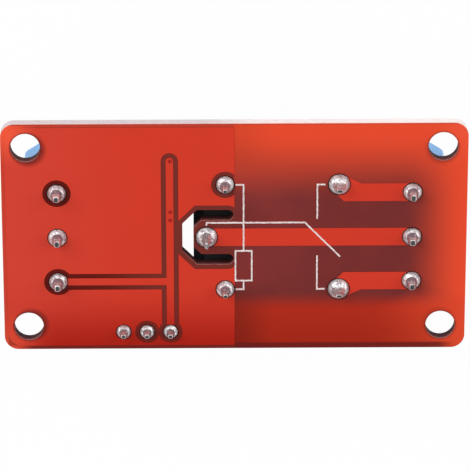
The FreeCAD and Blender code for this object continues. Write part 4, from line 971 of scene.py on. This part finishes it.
class RELAYBOARD_OT_copper(Operator):
    """Finish the masked copper on both faces"""

    bl_idname = "relay_board.copper"
    bl_label = "Copper"

    def execute(self, context):
        dress(masked_copper(context.scene.relay_board), "ground_pour", "signal_track", "common_track",
              "open_contact_track", "closed_contact_track", "isolated_pads", "component_tracks")
        return {"FINISHED"}


class RELAYBOARD_OT_symbol(Operator):
    """Finish the printed relay symbol"""

    bl_idname = "relay_board.symbol"
    bl_label = "Printed Symbol"

    def execute(self, context):
        settings = context.scene.relay_board
        mesh = ragged_print("circuit_legend", settings)
        piece = new_piece("printed_symbol", mesh, [printed_ink(settings)], "root", smooth=False)
        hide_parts("circuit_legend")
        return {"FINISHED"}


class RELAYBOARD_OT_solder(Operator):
    """Make the solder joints round the leads"""

    bl_idname = "relay_board.solder"
    bl_label = "Solder Joints"

    def execute(self, context):
        settings = context.scene.relay_board
        leads = {
            "input_solder_joints": ["input_clamp_cages"],
            "output_solder_joints": ["output_clamp_cages"],
            "relay_solder_joints": ["common_terminal", "coil_pins", "open_contact_strip",
                                    "closed_contact_strip"],
            "header_solder_joints": ["header_pins"],
        }
        finishes = [bright_solder(settings), rim_resin(settings), clipped_end(settings),
                    coated_lead(settings)]
        seed = 0
        for node, lead_nodes in leads.items():
            mesh = bmesh.new()
            ends = leads_of(lead_nodes)
            for joint in islands(node):
                seed += 1
                centre = middle(joint)
                lead = min(ends, key=lambda end: (end.centre.xy - centre.xy).length)
                JointShape(mesh, joint, lead, settings, seed).build()
            piece = new_piece(node.replace("_solder_joints", "_joints"), mesh, finishes, "root")
            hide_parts(node)
        return {"FINISHED"}


class RELAYBOARD_OT_terminals(Operator):
    """Finish the screw terminals"""

    bl_idname = "relay_board.terminals"
    bl_label = "Screw Terminals"

    def execute(self, context):
        settings = context.scene.relay_parts
        housing = moulded("terminal_plastic", settings.housing_colour, gloss=0.32, through=0.1)
        zinc = metal("zinc_steel", settings.steel_colour, settings.steel_stain, roughness=0.22)
        tinned = metal("clamp_metal", settings.steel_colour, settings.brass_stain, roughness=0.3)
        for side in SIDES:
            dress(housing, side + "_housing")
            dress(tinned, side + "_clamp_cages")
            for pole in POLES:
                dress(zinc, "%s_leaf_%d" % (side, pole), "%s_screw_%d" % (side, pole))
        return {"FINISHED"}


class RELAYBOARD_OT_relay(Operator):
    """Finish the relay and its inner parts"""

    bl_idname = "relay_board.relay"
    bl_label = "Relay"

    def execute(self, context):
        settings = context.scene.relay_parts
        dress(relay_plastic(settings), "relay_case")
        dress(moulded("base_plastic", settings.black_colour, gloss=0.5, coat=0.0), "relay_base")
        dress(moulded("bobbin_plastic", settings.bobbin_colour, gloss=0.4), "coil_bobbin")
        dress(wound_wire(settings), "coil_winding")
        dress(metal("soft_iron", settings.steel_colour, settings.steel_stain, roughness=0.35),
              "iron_core", "yoke", "armature")
        dress(metal("contact_silver", settings.steel_colour, settings.steel_stain, roughness=0.2),
              "moving_contact", "fixed_contacts")
        dress(metal("spring_bronze", settings.brass_colour, settings.brass_stain),
              "contact_spring", "open_contact_strip", "closed_contact_strip")
        dress(metal("tinned_pin", settings.steel_colour, settings.steel_stain),
              "common_terminal", "coil_pins")
        return {"FINISHED"}


class RELAYBOARD_OT_header(Operator):
    """Finish the trigger header and its jumper"""

    bl_idname = "relay_board.header"
    bl_label = "Header and Jumper"

    def execute(self, context):
        settings = context.scene.relay_parts
        dress(moulded("header_plastic", settings.black_colour, gloss=0.45), "header_block")
        dress(moulded("jumper_plastic", settings.jumper_colour, gloss=0.4), "jumper_cap")
        dress(metal("gold_pin", settings.brass_colour, settings.brass_stain, roughness=0.2),
              "header_pins", "jumper_clip")
        return {"FINISHED"}


class RELAYBOARD_OT_small_parts(Operator):
    """Finish the surface-mounted parts"""

    bl_idname = "relay_board.small_parts"
    bl_label = "Small Parts"

    def execute(self, context):
        settings = context.scene.relay_parts
        dress(moulded("opto_plastic", settings.opto_colour, gloss=0.4), "optocoupler_body")
        dress(moulded("chip_plastic", settings.chip_colour, gloss=0.5),
              "transistor_body", "diode_body", "resistor_bodies")
        dress(moulded("lamp_plastic", settings.lamp_colour, gloss=0.12, coat=0.6), "power_lamp",
              "trigger_lamp")
        dress(metal("tinned_lead", settings.steel_colour, settings.steel_stain),
              "optocoupler_leads", "transistor_leads", "diode_leads", "chip_end_caps")
        return {"FINISHED"}


class RELAYBOARD_OT_stage(Operator):
    """Make the floor, the lamps, the sky and the camera"""

    bl_idname = "relay_board.stage"
    bl_label = "Stage"

    def lamp(self, context, name, place, width, share):
        """A soft square lamp that gives a level surface at the origin that share of full white."""
        light = bpy.data.lights.new(name, "AREA")
        light.shape = "SQUARE"
        light.size = width
        light.energy = share * math.pi ** 2 * place.length ** 3 / place.z
        lamp = bpy.data.objects.new(name, light)
        lamp.location = place
        lamp.rotation_mode = "QUATERNION"
        lamp.rotation_quaternion = place.to_track_quat("Z", "Y")
        context.scene.collection.objects.link(lamp)

    def floor(self, context, settings):
        """A pale floor that keeps the part's shadow, and is white for the camera and in reflections."""
        reach, level = settings.floor_reach, cad_box[0].z
        mesh = bpy.data.meshes.new("floor")
        corners = [(x * reach, y * reach, level) for x, y in ((-1, -1), (1, -1), (1, 1), (-1, 1))]
        mesh.from_pydata(corners, [], [(0, 1, 2, 3)])
        material = bpy.data.materials.new("pale_floor")
        nodes = Nodes(material)
        glow = nodes.rays("Is Camera Ray", "Is Glossy Ray", "Is Transmission Ray") * settings.floor_glow
        paint = nodes.add("ShaderNodeBsdfDiffuse", None, {"Color": settings.floor_colour})
        white = nodes.add("ShaderNodeEmission")
        nodes.end_with(nodes.add("ShaderNodeMixShader", None, {0: glow, 1: paint, 2: white}))
        mesh.materials.append(material)
        floor = bpy.data.objects.new("floor", mesh)
        context.scene.collection.objects.link(floor)

    def sky(self, context, settings):
        """Even light from all round, stronger near the horizon, and plain white for the camera."""
        world = bpy.data.worlds.new("studio")
        context.scene.world = world
        nodes = Nodes(world)
        way = nodes.add("ShaderNodeTexCoord", output="Generated")
        height = nodes.add("ShaderNodeSeparateXYZ", None, {0: way}, 2)
        rise = settings.high_sky - settings.low_sky
        level = settings.low_sky + rise * height.rising(*settings.sky_band)
        light = nodes.add("ShaderNodeBackground", None, {"Color": (1.0, 1.0, 1.0), "Strength": level})
        white = nodes.add("ShaderNodeBackground", None, {"Color": (1.0, 1.0, 1.0)})
        seen = nodes.rays("Is Camera Ray")
        nodes.end_with(nodes.add("ShaderNodeMixShader", None, {0: seen, 1: light, 2: white}))

    def camera(self, context, settings):
        """The camera that the photo was taken with, as far as its lines tell."""
        data = bpy.data.cameras.new("camera")
        data.sensor_width = 36.0
        data.lens = settings.camera_lens
        data.clip_start, data.clip_end = 0.01, 10.0
        camera = bpy.data.objects.new("camera", data)
        turn = Matrix.Identity(4)
        for angle, axis in zip(settings.camera_turn, "XYZ"):
            turn = turn @ Matrix.Rotation(angle, 4, axis)
        camera.matrix_world = Matrix.Translation(settings.camera_place) @ turn
        context.scene.collection.objects.link(camera)
        context.scene.camera = camera

    def execute(self, context):
        settings = context.scene.relay_stage
        self.floor(context, settings)
        self.sky(context, settings)
        self.lamp(context, "key_lamp", settings.key_place, settings.key_width, settings.key_light)
        self.lamp(context, "fill_lamp", settings.fill_place, settings.fill_width, settings.fill_light)
        self.camera(context, settings)
        context.scene.view_settings.view_transform = "Standard"
        return {"FINISHED"}


STEPS = (
    RELAYBOARD_OT_board,
    RELAYBOARD_OT_copper,
    RELAYBOARD_OT_symbol,
    RELAYBOARD_OT_solder,
    RELAYBOARD_OT_terminals,
    RELAYBOARD_OT_relay,
    RELAYBOARD_OT_header,
    RELAYBOARD_OT_small_parts,
    RELAYBOARD_OT_stage,
)
SETTINGS = {"relay_board": BoardSettings, "relay_parts": PartSettings, "relay_stage": StageSettings}


class RELAYBOARD_PT_panel(Panel):
    """The steps and settings of the board"""

    bl_idname = "RELAYBOARD_PT_panel"
    bl_label = "Relay Board"
    bl_space_type = "VIEW_3D"
    bl_region_type = "UI"
    bl_category = "Relay Board"

    def draw(self, context):
        for step in STEPS:
            self.layout.operator(step.bl_idname)
        for name, group in SETTINGS.items():
            settings = getattr(context.scene, name)
            for word in group.__annotations__:
                self.layout.prop(settings, word)


def register():
    for group in (*SETTINGS.values(), *STEPS, RELAYBOARD_PT_panel):
        bpy.utils.register_class(group)
    for name, group in SETTINGS.items():
        setattr(bpy.types.Scene, name, PointerProperty(type=group))


def unregister():
    for name in SETTINGS:
        delattr(bpy.types.Scene, name)
    for group in reversed((*SETTINGS.values(), *STEPS, RELAYBOARD_PT_panel)):
        bpy.utils.unregister_class(group)


def main():
    """Make the board piece by piece, then the stage."""
    register()
    for step in STEPS:
        family, name = step.bl_idname.split(".")
        getattr(getattr(bpy.ops, family), name)()


if __name__ == "__main__":
    main()
